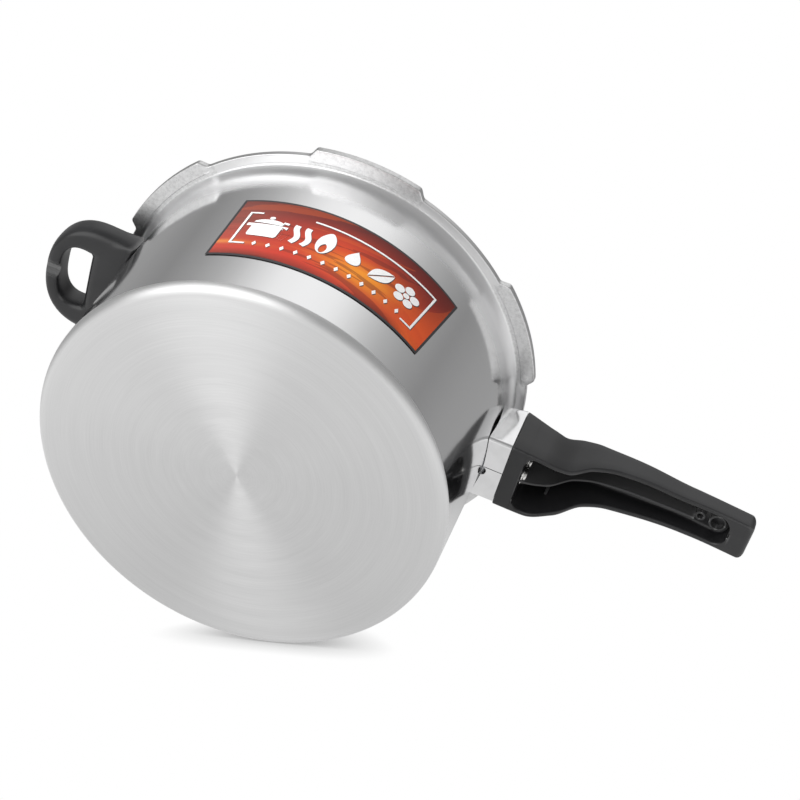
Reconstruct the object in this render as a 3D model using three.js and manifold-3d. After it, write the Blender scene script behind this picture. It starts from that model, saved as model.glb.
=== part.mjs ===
// Stovetop pressure cooker body: an aluminium pot with a bayonet rim for an outer lid,
// a long handle behind a flame guard, and a helper handle on the opposite side.
// Millimetres and degrees. Origin at the centre of the base's underside, +Z up the pot's axis,
// +X along the long handle, so the helper handle lies along -X and the label faces -Y.
import * as THREE from 'three';
import Module from 'manifold-3d';
import { mergeVertices } from 'three/addons/utils/BufferGeometryUtils.js';

const wasm = await Module();
wasm.setup();

// ---- Driving dimensions: pot ----
const WALL_RADIUS = 130;          // outside of the wall
const WALL_THICKNESS = 3.2;
const BASE_THICKNESS = 4.5;
const POT_HEIGHT = 150;           // underside of the base to the top of the lip
const EDGE_RADIUS = 6;            // outside corner between base and wall
const INNER_CORNER = 9;           // inside corner between base and wall
const LIP_STEP = 0.6;             // the lip stands this far above the flange
const FLANGE_THICKNESS = 4.2;
const FLANGE_REACH = 10.5;        // flange edge beyond the wall
const NECK_REACH = 4.2;           // the wall flares out by this much under the flange
const NECK_HEIGHT = 11;
const LUG_COUNT = 6;
const LUG_REACH = 5.2;            // lug beyond the flange edge
const LUG_THICKNESS = 5;
const LUG_SPAN = 26.5;            // full-reach part of each lug
const LUG_RAMP = 2.6;             // tapered end of each lug
const LUG_ROOT = 3;               // the thicker part of a lug starts this far inside the flange edge
const LUG_CHAMFER = 0.5;          // the thicker part stays this far inside the lug's outline
const FIRST_LUG_ANGLE = 30;       // lugs lie on both sides of each handle
const ROUND_SEGMENTS = 96;        // facets around the pot

// ---- Driving dimensions: label ----
const LABEL_LEFT = -117;          // end away from the long handle
const LABEL_RIGHT_TOP = -50.5;    // the other end leans a little
const LABEL_RIGHT_BOTTOM = -54.7;
const LABEL_BELOW_RIM = 42.2;     // top edge, below the flange
const LABEL_HEIGHT = 67;
const LABEL_THICKNESS = 0.3;

// ---- Driving dimensions: long handle and its fittings ----
const GUARD_LENGTH = 13.2;        // sleeve along the handle
const GUARD_HALF_WIDTH = 23.5;
const GUARD_BELOW_RIM = 10.6;     // top face at the wall, below the flange
const GUARD_HEIGHT = 38.6;        // at the wall
const GUARD_TOP_RISE = 3.8;       // the top face climbs this much towards the grip
const GUARD_SHEET = 0.9;
const GUARD_CORNER = 2.4;
const GUARD_NOTCH = 3.4;          // half-round notch in the pot-side edge
const GUARD_NOTCH_OFFSET = 2.4;   // sideways; the seam meets the notch's nearer side
const GUARD_SEAM = 0.5;
const GRIP_LENGTH = 159;
const GRIP_FRONT_WALL = 11;       // solid front of the grip, which the screws clamp
const GRIP_SIDE_WALL = 3.2;
const GRIP_ROOF = 4;
const GRIP_END_WALL = 14;
const GRIP_CORNER = 3;
const GRIP_LEDGE = 0.6;           // the grip's front stands this far proud of the guard all round
const RIB_THICKNESS = 2;
const RIB_LEAD = 10;              // the middle rib follows the underside this far ahead
const RIB_RECESS = 2.5;
const RING_RECESS = 7;
const CROSS_RIB_FROM_FRONT = 29;
const CROSS_RIB_RECESS = 23;
const HEAD_RELIEF = 6;            // length of the middle rib that is cut away around the screw heads
const EYE_RADIUS = 6;             // moulded ring near the grip's end
const EYE_FROM_END = 22;
const PIN_RADIUS = 3.4;           // smaller moulded ring beside it
const PIN_FROM_END = 34;
const RING_WALL = 1.6;

// ---- Driving dimensions: brackets and fasteners ----
const BRACKET_SHEET = 2;
const BRACKET_HALF_WIDTH = 17;
const BRACKET_SETBACK = 2;        // the bracket's front lies this far inside the guard's end
const BRACKET_HEIGHT = 31;
const SCREW_RADIUS = 2.5;
const SCREW_HEAD_RADIUS = 5.4;
const SCREW_HEAD_HEIGHT = 2.6;
const SCREW_SLOT_WIDTH = 1.2;
const WASHER_RADIUS = 6.2;
const WASHER_THICKNESS = 1;
const NUT_WIDTH = 8;              // across the flats
const NUT_THICKNESS = 3;
const HANDLE_SCREW_OFFSETS = [-11.3, 3.2];   // above the middle of the guard
const SCREW_TIP = 0.6;            // the shank ends this far beyond the nut
const RIVET_RADIUS = 2.4;
const RIVET_HEAD_RADIUS = 5;
const RIVET_HEAD_HEIGHT = 1.7;
const RIVET_TAIL_RADIUS = 4;
const RIVET_TAIL_HEIGHT = 1.4;
const LOWER_RIVET_OFFSET = -8;    // above the middle of the guard
const UPPER_RIVET_OFFSET = 7;
const UPPER_RIVET_SPREAD = 9;     // sideways, to each side
const HELPER_RIVET_SPREAD = 8;

// ---- Driving dimensions: helper handle ----
const HELPER_BELOW_RIM = 7.2;     // top face, below the flange
const HELPER_HEIGHT = 20;
const HELPER_HALF_WIDTH = 39.5;
const HELPER_REACH = 53;          // outermost point beyond the wall
const HELPER_BOW_START = 18;      // where the rounded outer part begins, beyond the wall
const HELPER_ROUNDING = 4.5;
const WINDOW_START = 24;          // finger opening, beyond the wall
const WINDOW_DEPTH = 18.5;
const WINDOW_HALF_WIDTH = 24;
const WINDOW_TAPER = 0.15;        // share of its width that the opening loses on the pot's side
const HELPER_BRACKET_HALF_WIDTH = 15;
const HELPER_BRACKET_HEIGHT = 12;
const HELPER_BRACKET_DEPTH = 10;
const HELPER_GROOVE_WIDTH = 12;   // notch across the outer bar, in line with the screw
const HELPER_GROOVE_DEPTH = 4;

// ---- Clearances ----
const TOUCH = 0.3;                // between pieces that rest on each other
const HOLE_CLEARANCE = 0.3;       // around shanks in their holes
const POCKET_CLEARANCE = 0.6;     // around a bracket in its pocket
const GRIP_TO_WALL = 0.8;         // between the helper grip and the wall

// ---- Finishes ----
const finish = (color, roughness, metalness) =>
  new THREE.MeshStandardMaterial({ color, roughness, metalness });
const POLISHED_ALUMINIUM = finish(0xb9bbbd, 0.15, 1);
const PRINTED_FOIL = finish(0xc8371f, 0.35, 0.2);
const BRIGHT_STEEL = finish(0xd6d8da, 0.12, 1);
const ZINC_STEEL = finish(0xaeb1b5, 0.35, 1);
const BLACK_BAKELITE = finish(0x2b2b2c, 0.5, 0);

// ---- Small geometry helpers ----
const radians = (degrees) => degrees * Math.PI / 180;
const lerp = (a, b, t) => a + (b - a) * t;

// A closed mesh as a manifold solid, for cutting and joining.
function solid(geometry) {
  const bare = geometry.clone();
  bare.deleteAttribute('normal');
  bare.deleteAttribute('uv');
  const merged = mergeVertices(bare, 1e-4);
  return new wasm.Manifold(new wasm.Mesh({
    numProp: 3,
    vertProperties: new Float32Array(merged.attributes.position.array),
    triVerts: new Uint32Array(merged.index.array),
  }));
}

function toGeometry(body) {
  const mesh = body.getMesh();
  const geometry = new THREE.BufferGeometry();
  geometry.setAttribute('position', new THREE.BufferAttribute(mesh.vertProperties, 3));
  geometry.setIndex(new THREE.BufferAttribute(mesh.triVerts, 1));
  geometry.computeVertexNormals();
  return geometry;
}

// An outline in the XY plane raised from one height to another.
function raise(shape, bottom, top, curveSegments = 8) {
  const settings = { depth: top - bottom, bevelEnabled: false, curveSegments };
  return new THREE.ExtrudeGeometry(shape, settings).translate(0, 0, bottom);
}

function box(sizeX, sizeY, sizeZ, x, y, z) {
  return new THREE.BoxGeometry(sizeX, sizeY, sizeZ).translate(x, y, z);
}

// A turned piece whose axis lies along +X: the profile is [distance along X, radius].
function turnAlongX(profile, segments = 16) {
  const points = profile.map(([along, radius]) => new THREE.Vector2(radius, along));
  return new THREE.LatheGeometry(points, segments).rotateZ(-Math.PI / 2);
}

// A round bar along +X, used for holes.
function barAlongX(from, to, radius, segments = 16) {
  return turnAlongX([[from, 0], [from, radius], [to, radius], [to, 0]], segments);
}

// Smooth value at x through a few [x, value] points, without overshoot.
function along(points, x) {
  const last = points.length - 1;
  if (x <= points[0][0]) return points[0][1];
  if (x >= points[last][0]) return points[last][1];
  const slope = (i) => (points[i + 1][1] - points[i][1]) / (points[i + 1][0] - points[i][0]);
  const tangent = (i) => {
    if (i === 0) return slope(0);
    if (i === last) return slope(last - 1);
    const before = slope(i - 1);
    const after = slope(i);
    return before * after <= 0 ? 0 : 2 * before * after / (before + after);
  };
  const i = points.findIndex((point) => point[0] > x) - 1;
  const width = points[i + 1][0] - points[i][0];
  const t = (x - points[i][0]) / width;
  const h = t * t * (3 - 2 * t);
  const rise = t * (1 - t) * (1 - t) * tangent(i) - t * t * (1 - t) * tangent(i + 1);
  return lerp(points[i][1], points[i + 1][1], h) + width * rise;
}

// A closed skin over rings of points that all have the same count, with flat ends.
function loft(rings) {
  const count = rings[0].length;
  const positions = rings.flat(2);
  const index = [];
  for (let r = 0; r < rings.length - 1; r += 1) {
    for (let k = 0; k < count; k += 1) {
      const a = r * count + k;
      const b = r * count + (k + 1) % count;
      index.push(a, b, a + count, b, b + count, a + count);
    }
  }
  const lastRing = (rings.length - 1) * count;
  for (let k = 1; k < count - 1; k += 1) {
    index.push(0, k + 1, k);
    index.push(lastRing, lastRing + k, lastRing + k + 1);
  }
  const geometry = new THREE.BufferGeometry();
  geometry.setAttribute('position', new THREE.Float32BufferAttribute(positions, 3));
  geometry.setIndex(index);
  return geometry;
}

// A ring across the handle at x: a rectangle with rounded corners.
function roundedRing(x, halfWidth, bottom, top, corner, steps) {
  const ring = [];
  const corners = [
    [halfWidth - corner, bottom + corner, -90],
    [halfWidth - corner, top - corner, 0],
    [-halfWidth + corner, top - corner, 90],
    [-halfWidth + corner, bottom + corner, 180],
  ];
  for (const [y, z, start] of corners) {
    for (let s = 0; s <= steps; s += 1) {
      const angle = radians(start + 90 * s / steps);
      ring.push([x, y + corner * Math.cos(angle), z + corner * Math.sin(angle)]);
    }
  }
  return ring;
}

// How far out a circle about the pot's axis lies at sideways offset y.
const reachOf = (radius, y) => Math.sqrt(radius * radius - y * y);

// ---- Pot ----
const INNER_RADIUS = WALL_RADIUS - WALL_THICKNESS;
const RIM_RADIUS = WALL_RADIUS + FLANGE_REACH;
const FLANGE_TOP = POT_HEIGHT - LIP_STEP;
const FLANGE_UNDERSIDE = FLANGE_TOP - FLANGE_THICKNESS;

function shellProfile() {
  const outline = new THREE.Path();
  outline.moveTo(0, 0);
  outline.lineTo(WALL_RADIUS - EDGE_RADIUS, 0);
  outline.absarc(WALL_RADIUS - EDGE_RADIUS, EDGE_RADIUS, EDGE_RADIUS, -Math.PI / 2, 0, false);
  outline.lineTo(WALL_RADIUS, FLANGE_UNDERSIDE - NECK_HEIGHT);
  const neck = WALL_RADIUS + NECK_REACH;
  outline.quadraticCurveTo(WALL_RADIUS, FLANGE_UNDERSIDE - NECK_HEIGHT / 2, neck, FLANGE_UNDERSIDE);
  outline.lineTo(neck, FLANGE_TOP - 0.5);
  outline.lineTo(WALL_RADIUS, FLANGE_TOP);
  outline.lineTo(WALL_RADIUS - 0.4, POT_HEIGHT);
  outline.lineTo(INNER_RADIUS, POT_HEIGHT);
  outline.lineTo(INNER_RADIUS, BASE_THICKNESS + INNER_CORNER);
  outline.absarc(INNER_RADIUS - INNER_CORNER, BASE_THICKNESS + INNER_CORNER, INNER_CORNER,
    0, -Math.PI / 2, true);
  outline.lineTo(0, BASE_THICKNESS);
  const points = outline.getPoints(3);
  return points.filter((point, i) => i === 0 || point.distanceTo(points[i - 1]) > 1e-6);
}

// The flange ring with its bayonet lugs, as an outline in the XY plane.
function flangeOutline(reach) {
  const shape = new THREE.Shape();
  const pitch = 360 / LUG_COUNT;
  for (let i = 0; i < LUG_COUNT; i += 1) {
    const centre = FIRST_LUG_ANGLE + i * pitch;
    const half = LUG_SPAN / 2;
    const foot = half + LUG_RAMP;
    const gapEnd = centre + pitch - foot;
    shape.absarc(0, 0, RIM_RADIUS + reach, radians(centre - half), radians(centre + half), false);
    shape.absarc(0, 0, RIM_RADIUS, radians(centre + foot), radians(gapEnd), false);
  }
  shape.closePath();
  const hole = new THREE.Path();
  const holeRadius = WALL_RADIUS - WALL_THICKNESS / 2;
  const holeArcs = 12;
  const step = 360 / holeArcs;
  for (let i = 0; i < holeArcs; i += 1) {
    hole.absarc(0, 0, holeRadius, radians(i * step), radians((i + 1) * step), false);
  }
  shape.holes.push(hole);
  return shape;
}

// The lugs alone, thicker than the flange, so that they show below it.
function lugOutline(centre) {
  const shape = new THREE.Shape();
  const half = LUG_SPAN / 2;
  const foot = half + LUG_RAMP;
  const edge = RIM_RADIUS + LUG_REACH - LUG_CHAMFER;
  shape.absarc(0, 0, edge, radians(centre - half), radians(centre + half), false);
  shape.absarc(0, 0, RIM_RADIUS - LUG_ROOT, radians(centre + foot), radians(centre - foot), true);
  shape.closePath();
  return shape;
}

function makePotBody(rivets) {
  let body = solid(new THREE.LatheGeometry(shellProfile(), ROUND_SEGMENTS).rotateX(Math.PI / 2));
  body = body.add(solid(raise(flangeOutline(LUG_REACH), FLANGE_UNDERSIDE, FLANGE_TOP, 3)));
  for (let i = 0; i < LUG_COUNT; i += 1) {
    const outline = lugOutline(FIRST_LUG_ANGLE + i * 360 / LUG_COUNT);
    body = body.add(solid(raise(outline, FLANGE_TOP - LUG_THICKNESS, FLANGE_TOP - LUG_CHAMFER, 3)));
  }
  for (const rivet of rivets) {
    const holeRadius = RIVET_RADIUS + HOLE_CLEARANCE;
    const hole = barAlongX(INNER_RADIUS - WALL_THICKNESS, WALL_RADIUS + WALL_THICKNESS, holeRadius);
    body = body.subtract(solid(hole.applyMatrix4(rivet.matrix)));
  }
  return toGeometry(body);
}

// ---- Label: a thin sheet bent round the wall ----
function makeLabel() {
  const columns = 30;
  const inner = WALL_RADIUS + TOUCH;
  const outer = inner + LABEL_THICKNESS;
  const top = FLANGE_UNDERSIDE - LABEL_BELOW_RIM;
  const bottom = top - LABEL_HEIGHT;
  const rings = [];
  for (let c = 0; c <= columns; c += 1) {
    const corner = (radius, height, end) => {
      const angle = radians(lerp(LABEL_LEFT, end, c / columns));
      return [radius * Math.cos(angle), radius * Math.sin(angle), height];
    };
    rings.push([
      corner(inner, bottom, LABEL_RIGHT_BOTTOM),
      corner(inner, top, LABEL_RIGHT_TOP),
      corner(outer, top, LABEL_RIGHT_TOP),
      corner(outer, bottom, LABEL_RIGHT_BOTTOM),
    ]);
  }
  return loft(rings);
}

// ---- Brackets: a sheet box whose back follows the wall ----
function bracketOutline(halfWidth, depth, inset) {
  const back = WALL_RADIUS + TOUCH + inset;
  const side = halfWidth - inset;
  const front = WALL_RADIUS + TOUCH + depth - inset;
  const halfAngle = Math.asin(side / back);
  const shape = new THREE.Shape();
  shape.absarc(0, 0, back, halfAngle, -halfAngle, true);
  shape.lineTo(front, -side);
  shape.lineTo(front, side);
  shape.closePath();
  return shape;
}

function makeBracket(halfWidth, depth, bottom, height, rivets, screwHeights) {
  const outline = bracketOutline(halfWidth, depth, 0);
  outline.holes.push(bracketOutline(halfWidth, depth, BRACKET_SHEET));
  let body = solid(raise(outline, bottom, bottom + height, 6));
  for (const rivet of rivets) {
    const hole = barAlongX(INNER_RADIUS, WALL_RADIUS + 2 * BRACKET_SHEET, RIVET_RADIUS + HOLE_CLEARANCE);
    body = body.subtract(solid(hole.applyMatrix4(rivet.matrix)));
  }
  for (const z of screwHeights) {
    const front = WALL_RADIUS + TOUCH + depth;
    const hole = barAlongX(front - 1.5 * BRACKET_SHEET, front + BRACKET_SHEET, SCREW_RADIUS + HOLE_CLEARANCE);
    body = body.subtract(solid(hole.translate(0, 0, z)));
  }
  return toGeometry(body);
}

// ---- Rivets: head inside the pot, tail closed over the bracket ----
// Each rivet has a matrix that turns +X into its outward direction.
function rivetAt(y, z) {
  const angle = Math.asin(y / WALL_RADIUS);
  const matrix = new THREE.Matrix4().makeRotationZ(angle);
  matrix.setPosition(0, 0, z);
  return { matrix };
}

function makeRivet(rivet) {
  const headSeat = reachOf(INNER_RADIUS, RIVET_HEAD_RADIUS) - TOUCH;
  const tailSeat = WALL_RADIUS + TOUCH + BRACKET_SHEET + TOUCH;
  const geometry = turnAlongX([
    [headSeat - RIVET_HEAD_HEIGHT, 0],
    [headSeat - RIVET_HEAD_HEIGHT, RIVET_HEAD_RADIUS * 0.55],
    [headSeat - RIVET_HEAD_HEIGHT * 0.6, RIVET_HEAD_RADIUS * 0.86],
    [headSeat, RIVET_HEAD_RADIUS],
    [headSeat, RIVET_RADIUS],
    [tailSeat, RIVET_RADIUS],
    [tailSeat, RIVET_TAIL_RADIUS],
    [tailSeat + RIVET_TAIL_HEIGHT * 0.6, RIVET_TAIL_RADIUS * 0.85],
    [tailSeat + RIVET_TAIL_HEIGHT, RIVET_TAIL_RADIUS * 0.4],
    [tailSeat + RIVET_TAIL_HEIGHT, 0],
  ]);
  return geometry.applyMatrix4(rivet.matrix);
}

// ---- Screws, washers and nuts along the handle's direction ----
// seat is the face that the washer presses on; end is where the nut's far face ends.
function makeScrew(seat, end, z) {
  const underHead = seat + TOUCH + WASHER_THICKNESS + TOUCH;
  const top = underHead + SCREW_HEAD_HEIGHT;
  let body = solid(turnAlongX([
    [end, 0],
    [end, SCREW_RADIUS * 0.8],
    [end + 0.8, SCREW_RADIUS],
    [underHead, SCREW_RADIUS],
    [underHead, SCREW_HEAD_RADIUS],
    [underHead + SCREW_HEAD_HEIGHT * 0.45, SCREW_HEAD_RADIUS],
    [underHead + SCREW_HEAD_HEIGHT * 0.85, SCREW_HEAD_RADIUS * 0.8],
    [top, SCREW_HEAD_RADIUS * 0.4],
    [top, 0],
  ]));
  const slotDepth = SCREW_HEAD_HEIGHT * 0.45;
  body = body.subtract(solid(box(2 * slotDepth, 4 * SCREW_HEAD_RADIUS, SCREW_SLOT_WIDTH, top, 0, 0)));
  return toGeometry(body).translate(0, 0, z);
}

function makeWasher(seat, z) {
  const from = seat + TOUCH;
  const to = from + WASHER_THICKNESS;
  const hole = SCREW_RADIUS + HOLE_CLEARANCE;
  const ring = [[from, hole], [from, WASHER_RADIUS], [to, WASHER_RADIUS], [to, hole], [from, hole]];
  return turnAlongX(ring).translate(0, 0, z);
}

function makeNut(from, z) {
  const corner = NUT_WIDTH / Math.sqrt(3);
  const hole = SCREW_RADIUS + HOLE_CLEARANCE;
  const hexagon = solid(barAlongX(from, from + NUT_THICKNESS, corner, 6));
  const bore = solid(barAlongX(from - 1, from + NUT_THICKNESS + 1, hole));
  return toGeometry(hexagon.subtract(bore)).translate(0, 0, z);
}

// ---- Flame guard: a folded sheet sleeve with its seam and notch underneath ----
const GUARD_TOP = FLANGE_UNDERSIDE - GUARD_BELOW_RIM;
const GUARD_BOTTOM = GUARD_TOP - GUARD_HEIGHT;
const GUARD_MIDDLE = (GUARD_TOP + GUARD_BOTTOM) / 2;
const GUARD_START = WALL_RADIUS + TOUCH;
const GUARD_END = GUARD_START + GUARD_LENGTH;
const guardTopAt = (x) => GUARD_TOP + GUARD_TOP_RISE * (x - GUARD_START) / GUARD_LENGTH;

function makeFlameGuard() {
  // The sleeve starts inside the wall and is then cut to the wall's curve.
  const insideWall = reachOf(WALL_RADIUS, GUARD_HALF_WIDTH) - TOUCH;
  const outer = [insideWall, GUARD_END].map((x) =>
    roundedRing(x, GUARD_HALF_WIDTH, GUARD_BOTTOM, guardTopAt(x), GUARD_CORNER, 4));
  const inner = [insideWall - 1, GUARD_END + 1].map((x) =>
    roundedRing(x, GUARD_HALF_WIDTH - GUARD_SHEET, GUARD_BOTTOM + GUARD_SHEET, guardTopAt(x) - GUARD_SHEET,
      GUARD_CORNER - GUARD_SHEET, 4));
  const wall = new THREE.CylinderGeometry(GUARD_START, GUARD_START, 2 * GUARD_HEIGHT, ROUND_SEGMENTS)
    .rotateX(Math.PI / 2)
    .translate(0, 0, GUARD_MIDDLE);
  const notch = new THREE.CylinderGeometry(GUARD_NOTCH, GUARD_NOTCH, 3 * GUARD_SHEET, 24)
    .rotateX(Math.PI / 2)
    .translate(GUARD_START, GUARD_NOTCH_OFFSET, GUARD_BOTTOM);
  const seamY = GUARD_NOTCH_OFFSET - GUARD_NOTCH;
  const seam = box(4 * GUARD_LENGTH, GUARD_SEAM, 3 * GUARD_SHEET, GUARD_END, seamY, GUARD_BOTTOM);
  let body = solid(loft(outer)).subtract(solid(loft(inner)));
  for (const cut of [wall, notch, seam]) body = body.subtract(solid(cut));
  return toGeometry(body);
}

// ---- Long handle grip: hollow underneath, with a deep front and a slim tail ----
const GRIP_START = GUARD_END + TOUCH;
const GRIP_END = GRIP_START + GRIP_LENGTH;
const CAVITY_START = GRIP_START + GRIP_FRONT_WALL;
const CAVITY_END = GRIP_END - GRIP_END_WALL;
const GRIP_FRONT_BOTTOM = GUARD_BOTTOM - GRIP_LEDGE;
const GRIP_FRONT_TOP = GUARD_TOP + GUARD_TOP_RISE + GRIP_LEDGE;
const GRIP_FRONT_HALF_WIDTH = GUARD_HALF_WIDTH + GRIP_LEDGE;
const SCREW_HEIGHTS = HANDLE_SCREW_OFFSETS.map((offset) => GUARD_MIDDLE + offset);

// Outline of the grip as [distance from its front, value], read smoothly between.
const UNDERSIDE = [
  [0, GRIP_FRONT_BOTTOM],
  [22, GRIP_FRONT_BOTTOM - 0.8],
  [38, GRIP_FRONT_BOTTOM + 4.8],
  [53, GRIP_FRONT_BOTTOM + 21],
  [69, GRIP_FRONT_BOTTOM + 28],
  [97, GRIP_FRONT_BOTTOM + 31],
  [124, GRIP_FRONT_BOTTOM + 31.2],
  [GRIP_LENGTH, GRIP_FRONT_BOTTOM + 28.8],
];
const TOPSIDE = [
  [0, GRIP_FRONT_TOP],
  [27, GRIP_FRONT_TOP - 7.6],
  [40, GRIP_FRONT_TOP + 1.2],
  [53, GRIP_FRONT_TOP + 6],
  [78, GRIP_FRONT_TOP + 7],
  [116, GRIP_FRONT_TOP + 5.2],
  [GRIP_LENGTH, GRIP_FRONT_TOP + 1.2],
];
const HALF_WIDTH = [
  [0, GRIP_FRONT_HALF_WIDTH],
  [20, GRIP_FRONT_HALF_WIDTH - 0.6],
  [40, GRIP_FRONT_HALF_WIDTH - 5.4],
  [56, GRIP_FRONT_HALF_WIDTH - 7.4],
  [82, GRIP_FRONT_HALF_WIDTH - 8.4],
  [115, GRIP_FRONT_HALF_WIDTH - 10.4],
  [GRIP_LENGTH, GRIP_FRONT_HALF_WIDTH - 10.4],
];

function gripRing(x, inset, drop, roof, corner, steps) {
  const s = x - GRIP_START;
  const bottom = along(UNDERSIDE, s) - drop;
  const top = along(TOPSIDE, s) - roof;
  return roundedRing(x, along(HALF_WIDTH, s) - inset, bottom, top, corner, steps);
}

const evenly = (from, to, count) => Array.from({ length: count + 1 }, (_, i) => lerp(from, to, i / count));

// A thin upright rib along the middle, from the cavity's front wall to the smaller ring.
function middleRib() {
  const stations = evenly(CAVITY_START - 1, GRIP_END - PIN_FROM_END - PIN_RADIUS, 16);
  return loft(stations.map((x) => {
    const s = x - GRIP_START;
    const bottom = along(UNDERSIDE, s + RIB_LEAD) + RIB_RECESS;
    const top = along(TOPSIDE, s) - GRIP_ROOF / 2;
    const half = RIB_THICKNESS / 2;
    return [[x, half, bottom], [x, half, top], [x, -half, top], [x, -half, bottom]];
  }));
}

// A moulded ring that hangs from the cavity's roof, open underneath.
function mouldedRing(fromEnd, radius) {
  const x = GRIP_END - fromEnd;
  const s = x - GRIP_START;
  const bottom = along(UNDERSIDE, s) + RING_RECESS;
  const top = along(TOPSIDE, s) - GRIP_ROOF / 2;
  const shape = new THREE.Shape().absarc(x, 0, radius, 0, 2 * Math.PI, false);
  shape.holes.push(new THREE.Path().absarc(x, 0, radius - RING_WALL, 0, 2 * Math.PI, false));
  return raise(shape, bottom, top, 8);
}

function makeGrip() {
  const outside = evenly(GRIP_START, GRIP_END - GRIP_CORNER, 24)
    .map((x) => gripRing(x, 0, 0, 0, GRIP_CORNER, 3));
  outside.push(gripRing(GRIP_END, GRIP_CORNER * 0.6, -GRIP_CORNER * 0.6, GRIP_CORNER * 0.6, GRIP_CORNER, 3));
  const cavity = evenly(CAVITY_START, CAVITY_END, 20)
    .map((x) => gripRing(x, GRIP_SIDE_WALL, 2, GRIP_ROOF, 0.8, 1));
  const hollow = solid(loft(cavity));
  const crossX = GRIP_START + CROSS_RIB_FROM_FRONT;
  const crossBottom = GRIP_FRONT_BOTTOM + CROSS_RIB_RECESS;
  const crossHeight = GRIP_FRONT_TOP - crossBottom;
  const crossWidth = 2 * (GRIP_FRONT_HALF_WIDTH - GRIP_SIDE_WALL);
  const crossRib = box(RIB_THICKNESS, crossWidth, crossHeight, crossX, 0, crossBottom + crossHeight / 2);
  const ribs = solid(middleRib())
    .add(solid(crossRib))
    .add(solid(mouldedRing(EYE_FROM_END, EYE_RADIUS)))
    .add(solid(mouldedRing(PIN_FROM_END, PIN_RADIUS)));
  const whole = solid(loft(outside));
  let body = whole.subtract(hollow).add(ribs.intersect(whole));
  // The rib stops short of the screw heads and washers.
  for (const z of SCREW_HEIGHTS) {
    const relief = barAlongX(CAVITY_START, CAVITY_START + HEAD_RELIEF, WASHER_RADIUS + TOUCH);
    const hole = barAlongX(GUARD_END, CAVITY_START + TOUCH, SCREW_RADIUS + HOLE_CLEARANCE);
    for (const cut of [relief, hole]) body = body.subtract(solid(cut.translate(0, 0, z)));
  }
  return toGeometry(body);
}

// ---- Helper handle, modelled along +X and turned to the far side ----
const HELPER_BOTTOM = FLANGE_UNDERSIDE - HELPER_BELOW_RIM - HELPER_HEIGHT;
const HELPER_MIDDLE = HELPER_BOTTOM + HELPER_HEIGHT / 2;

// A rounded outline whose depth falls off towards its sides; taper draws in the side near the pot.
function bowedOutline(start, depth, halfWidth, roundness, steps, taper = 0) {
  return evenly(-90, 90, steps).map((degrees) => {
    const c = Math.cos(radians(degrees));
    const s = Math.sin(radians(degrees));
    const power = 2 / roundness;
    const bow = Math.pow(Math.abs(c), power);
    const spread = halfWidth * (1 - taper * (1 - bow));
    return new THREE.Vector2(start + depth * bow, Math.sign(s) * spread * Math.pow(Math.abs(s), power));
  });
}

function makeHelperGrip(screwHeight) {
  const wallGap = WALL_RADIUS + GRIP_TO_WALL;
  const bowStart = WALL_RADIUS + HELPER_BOW_START;
  const halfAngle = Math.asin((HELPER_HALF_WIDTH - GRIP_TO_WALL) / wallGap);
  const bowDepth = HELPER_REACH - HELPER_BOW_START;
  const shape = new THREE.Shape(bowedOutline(bowStart, bowDepth, HELPER_HALF_WIDTH, 2.3, 28));
  shape.absarc(0, 0, wallGap, halfAngle, -halfAngle, true);
  const windowStart = WALL_RADIUS + WINDOW_START;
  const opening = bowedOutline(windowStart, WINDOW_DEPTH, WINDOW_HALF_WIDTH, 2.8, 16, WINDOW_TAPER);
  shape.holes.push(new THREE.Path(opening));
  const grip = new THREE.ExtrudeGeometry(shape, {
    depth: HELPER_HEIGHT - 2 * HELPER_ROUNDING,
    bevelEnabled: true,
    bevelThickness: HELPER_ROUNDING,
    bevelSize: HELPER_ROUNDING,
    bevelOffset: -HELPER_ROUNDING,
    bevelSegments: 3,
    curveSegments: 6,
  }).translate(0, 0, HELPER_BOTTOM + HELPER_ROUNDING);
  const pocketDepth = HELPER_BRACKET_DEPTH + TOUCH + POCKET_CLEARANCE;
  const pocket = box(2 * pocketDepth, 2 * (HELPER_BRACKET_HALF_WIDTH + POCKET_CLEARANCE),
    HELPER_BRACKET_HEIGHT + 2 * POCKET_CLEARANCE, WALL_RADIUS, 0, screwHeight);
  const screwSeat = windowStart - SCREW_HEAD_HEIGHT - WASHER_THICKNESS - 2 * TOUCH;
  const headHole = barAlongX(screwSeat, windowStart + WINDOW_DEPTH / 4, WASHER_RADIUS + TOUCH)
    .translate(0, 0, screwHeight);
  const shankHole = barAlongX(WALL_RADIUS, screwSeat + TOUCH, SCREW_RADIUS + HOLE_CLEARANCE)
    .translate(0, 0, screwHeight);
  const grooveRadius = HELPER_GROOVE_WIDTH / 2;
  const groove = new THREE.CylinderGeometry(grooveRadius, grooveRadius, HELPER_REACH, 20)
    .rotateZ(Math.PI / 2)
    .translate(windowStart + (WINDOW_DEPTH + HELPER_REACH) / 2, 0,
      HELPER_BOTTOM - grooveRadius + HELPER_GROOVE_DEPTH);
  let body = solid(grip);
  for (const cut of [pocket, headHole, shankHole, groove]) body = body.subtract(solid(cut));
  return { geometry: toGeometry(body), screwSeat };
}

// ---- Assembly ----
const model = new THREE.Group();
const helperSide = new THREE.Group();
helperSide.rotation.z = Math.PI;
model.add(helperSide);

function place(parent, name, geometry, material) {
  const mesh = new THREE.Mesh(geometry, material);
  mesh.name = name;
  parent.add(mesh);
}

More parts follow.
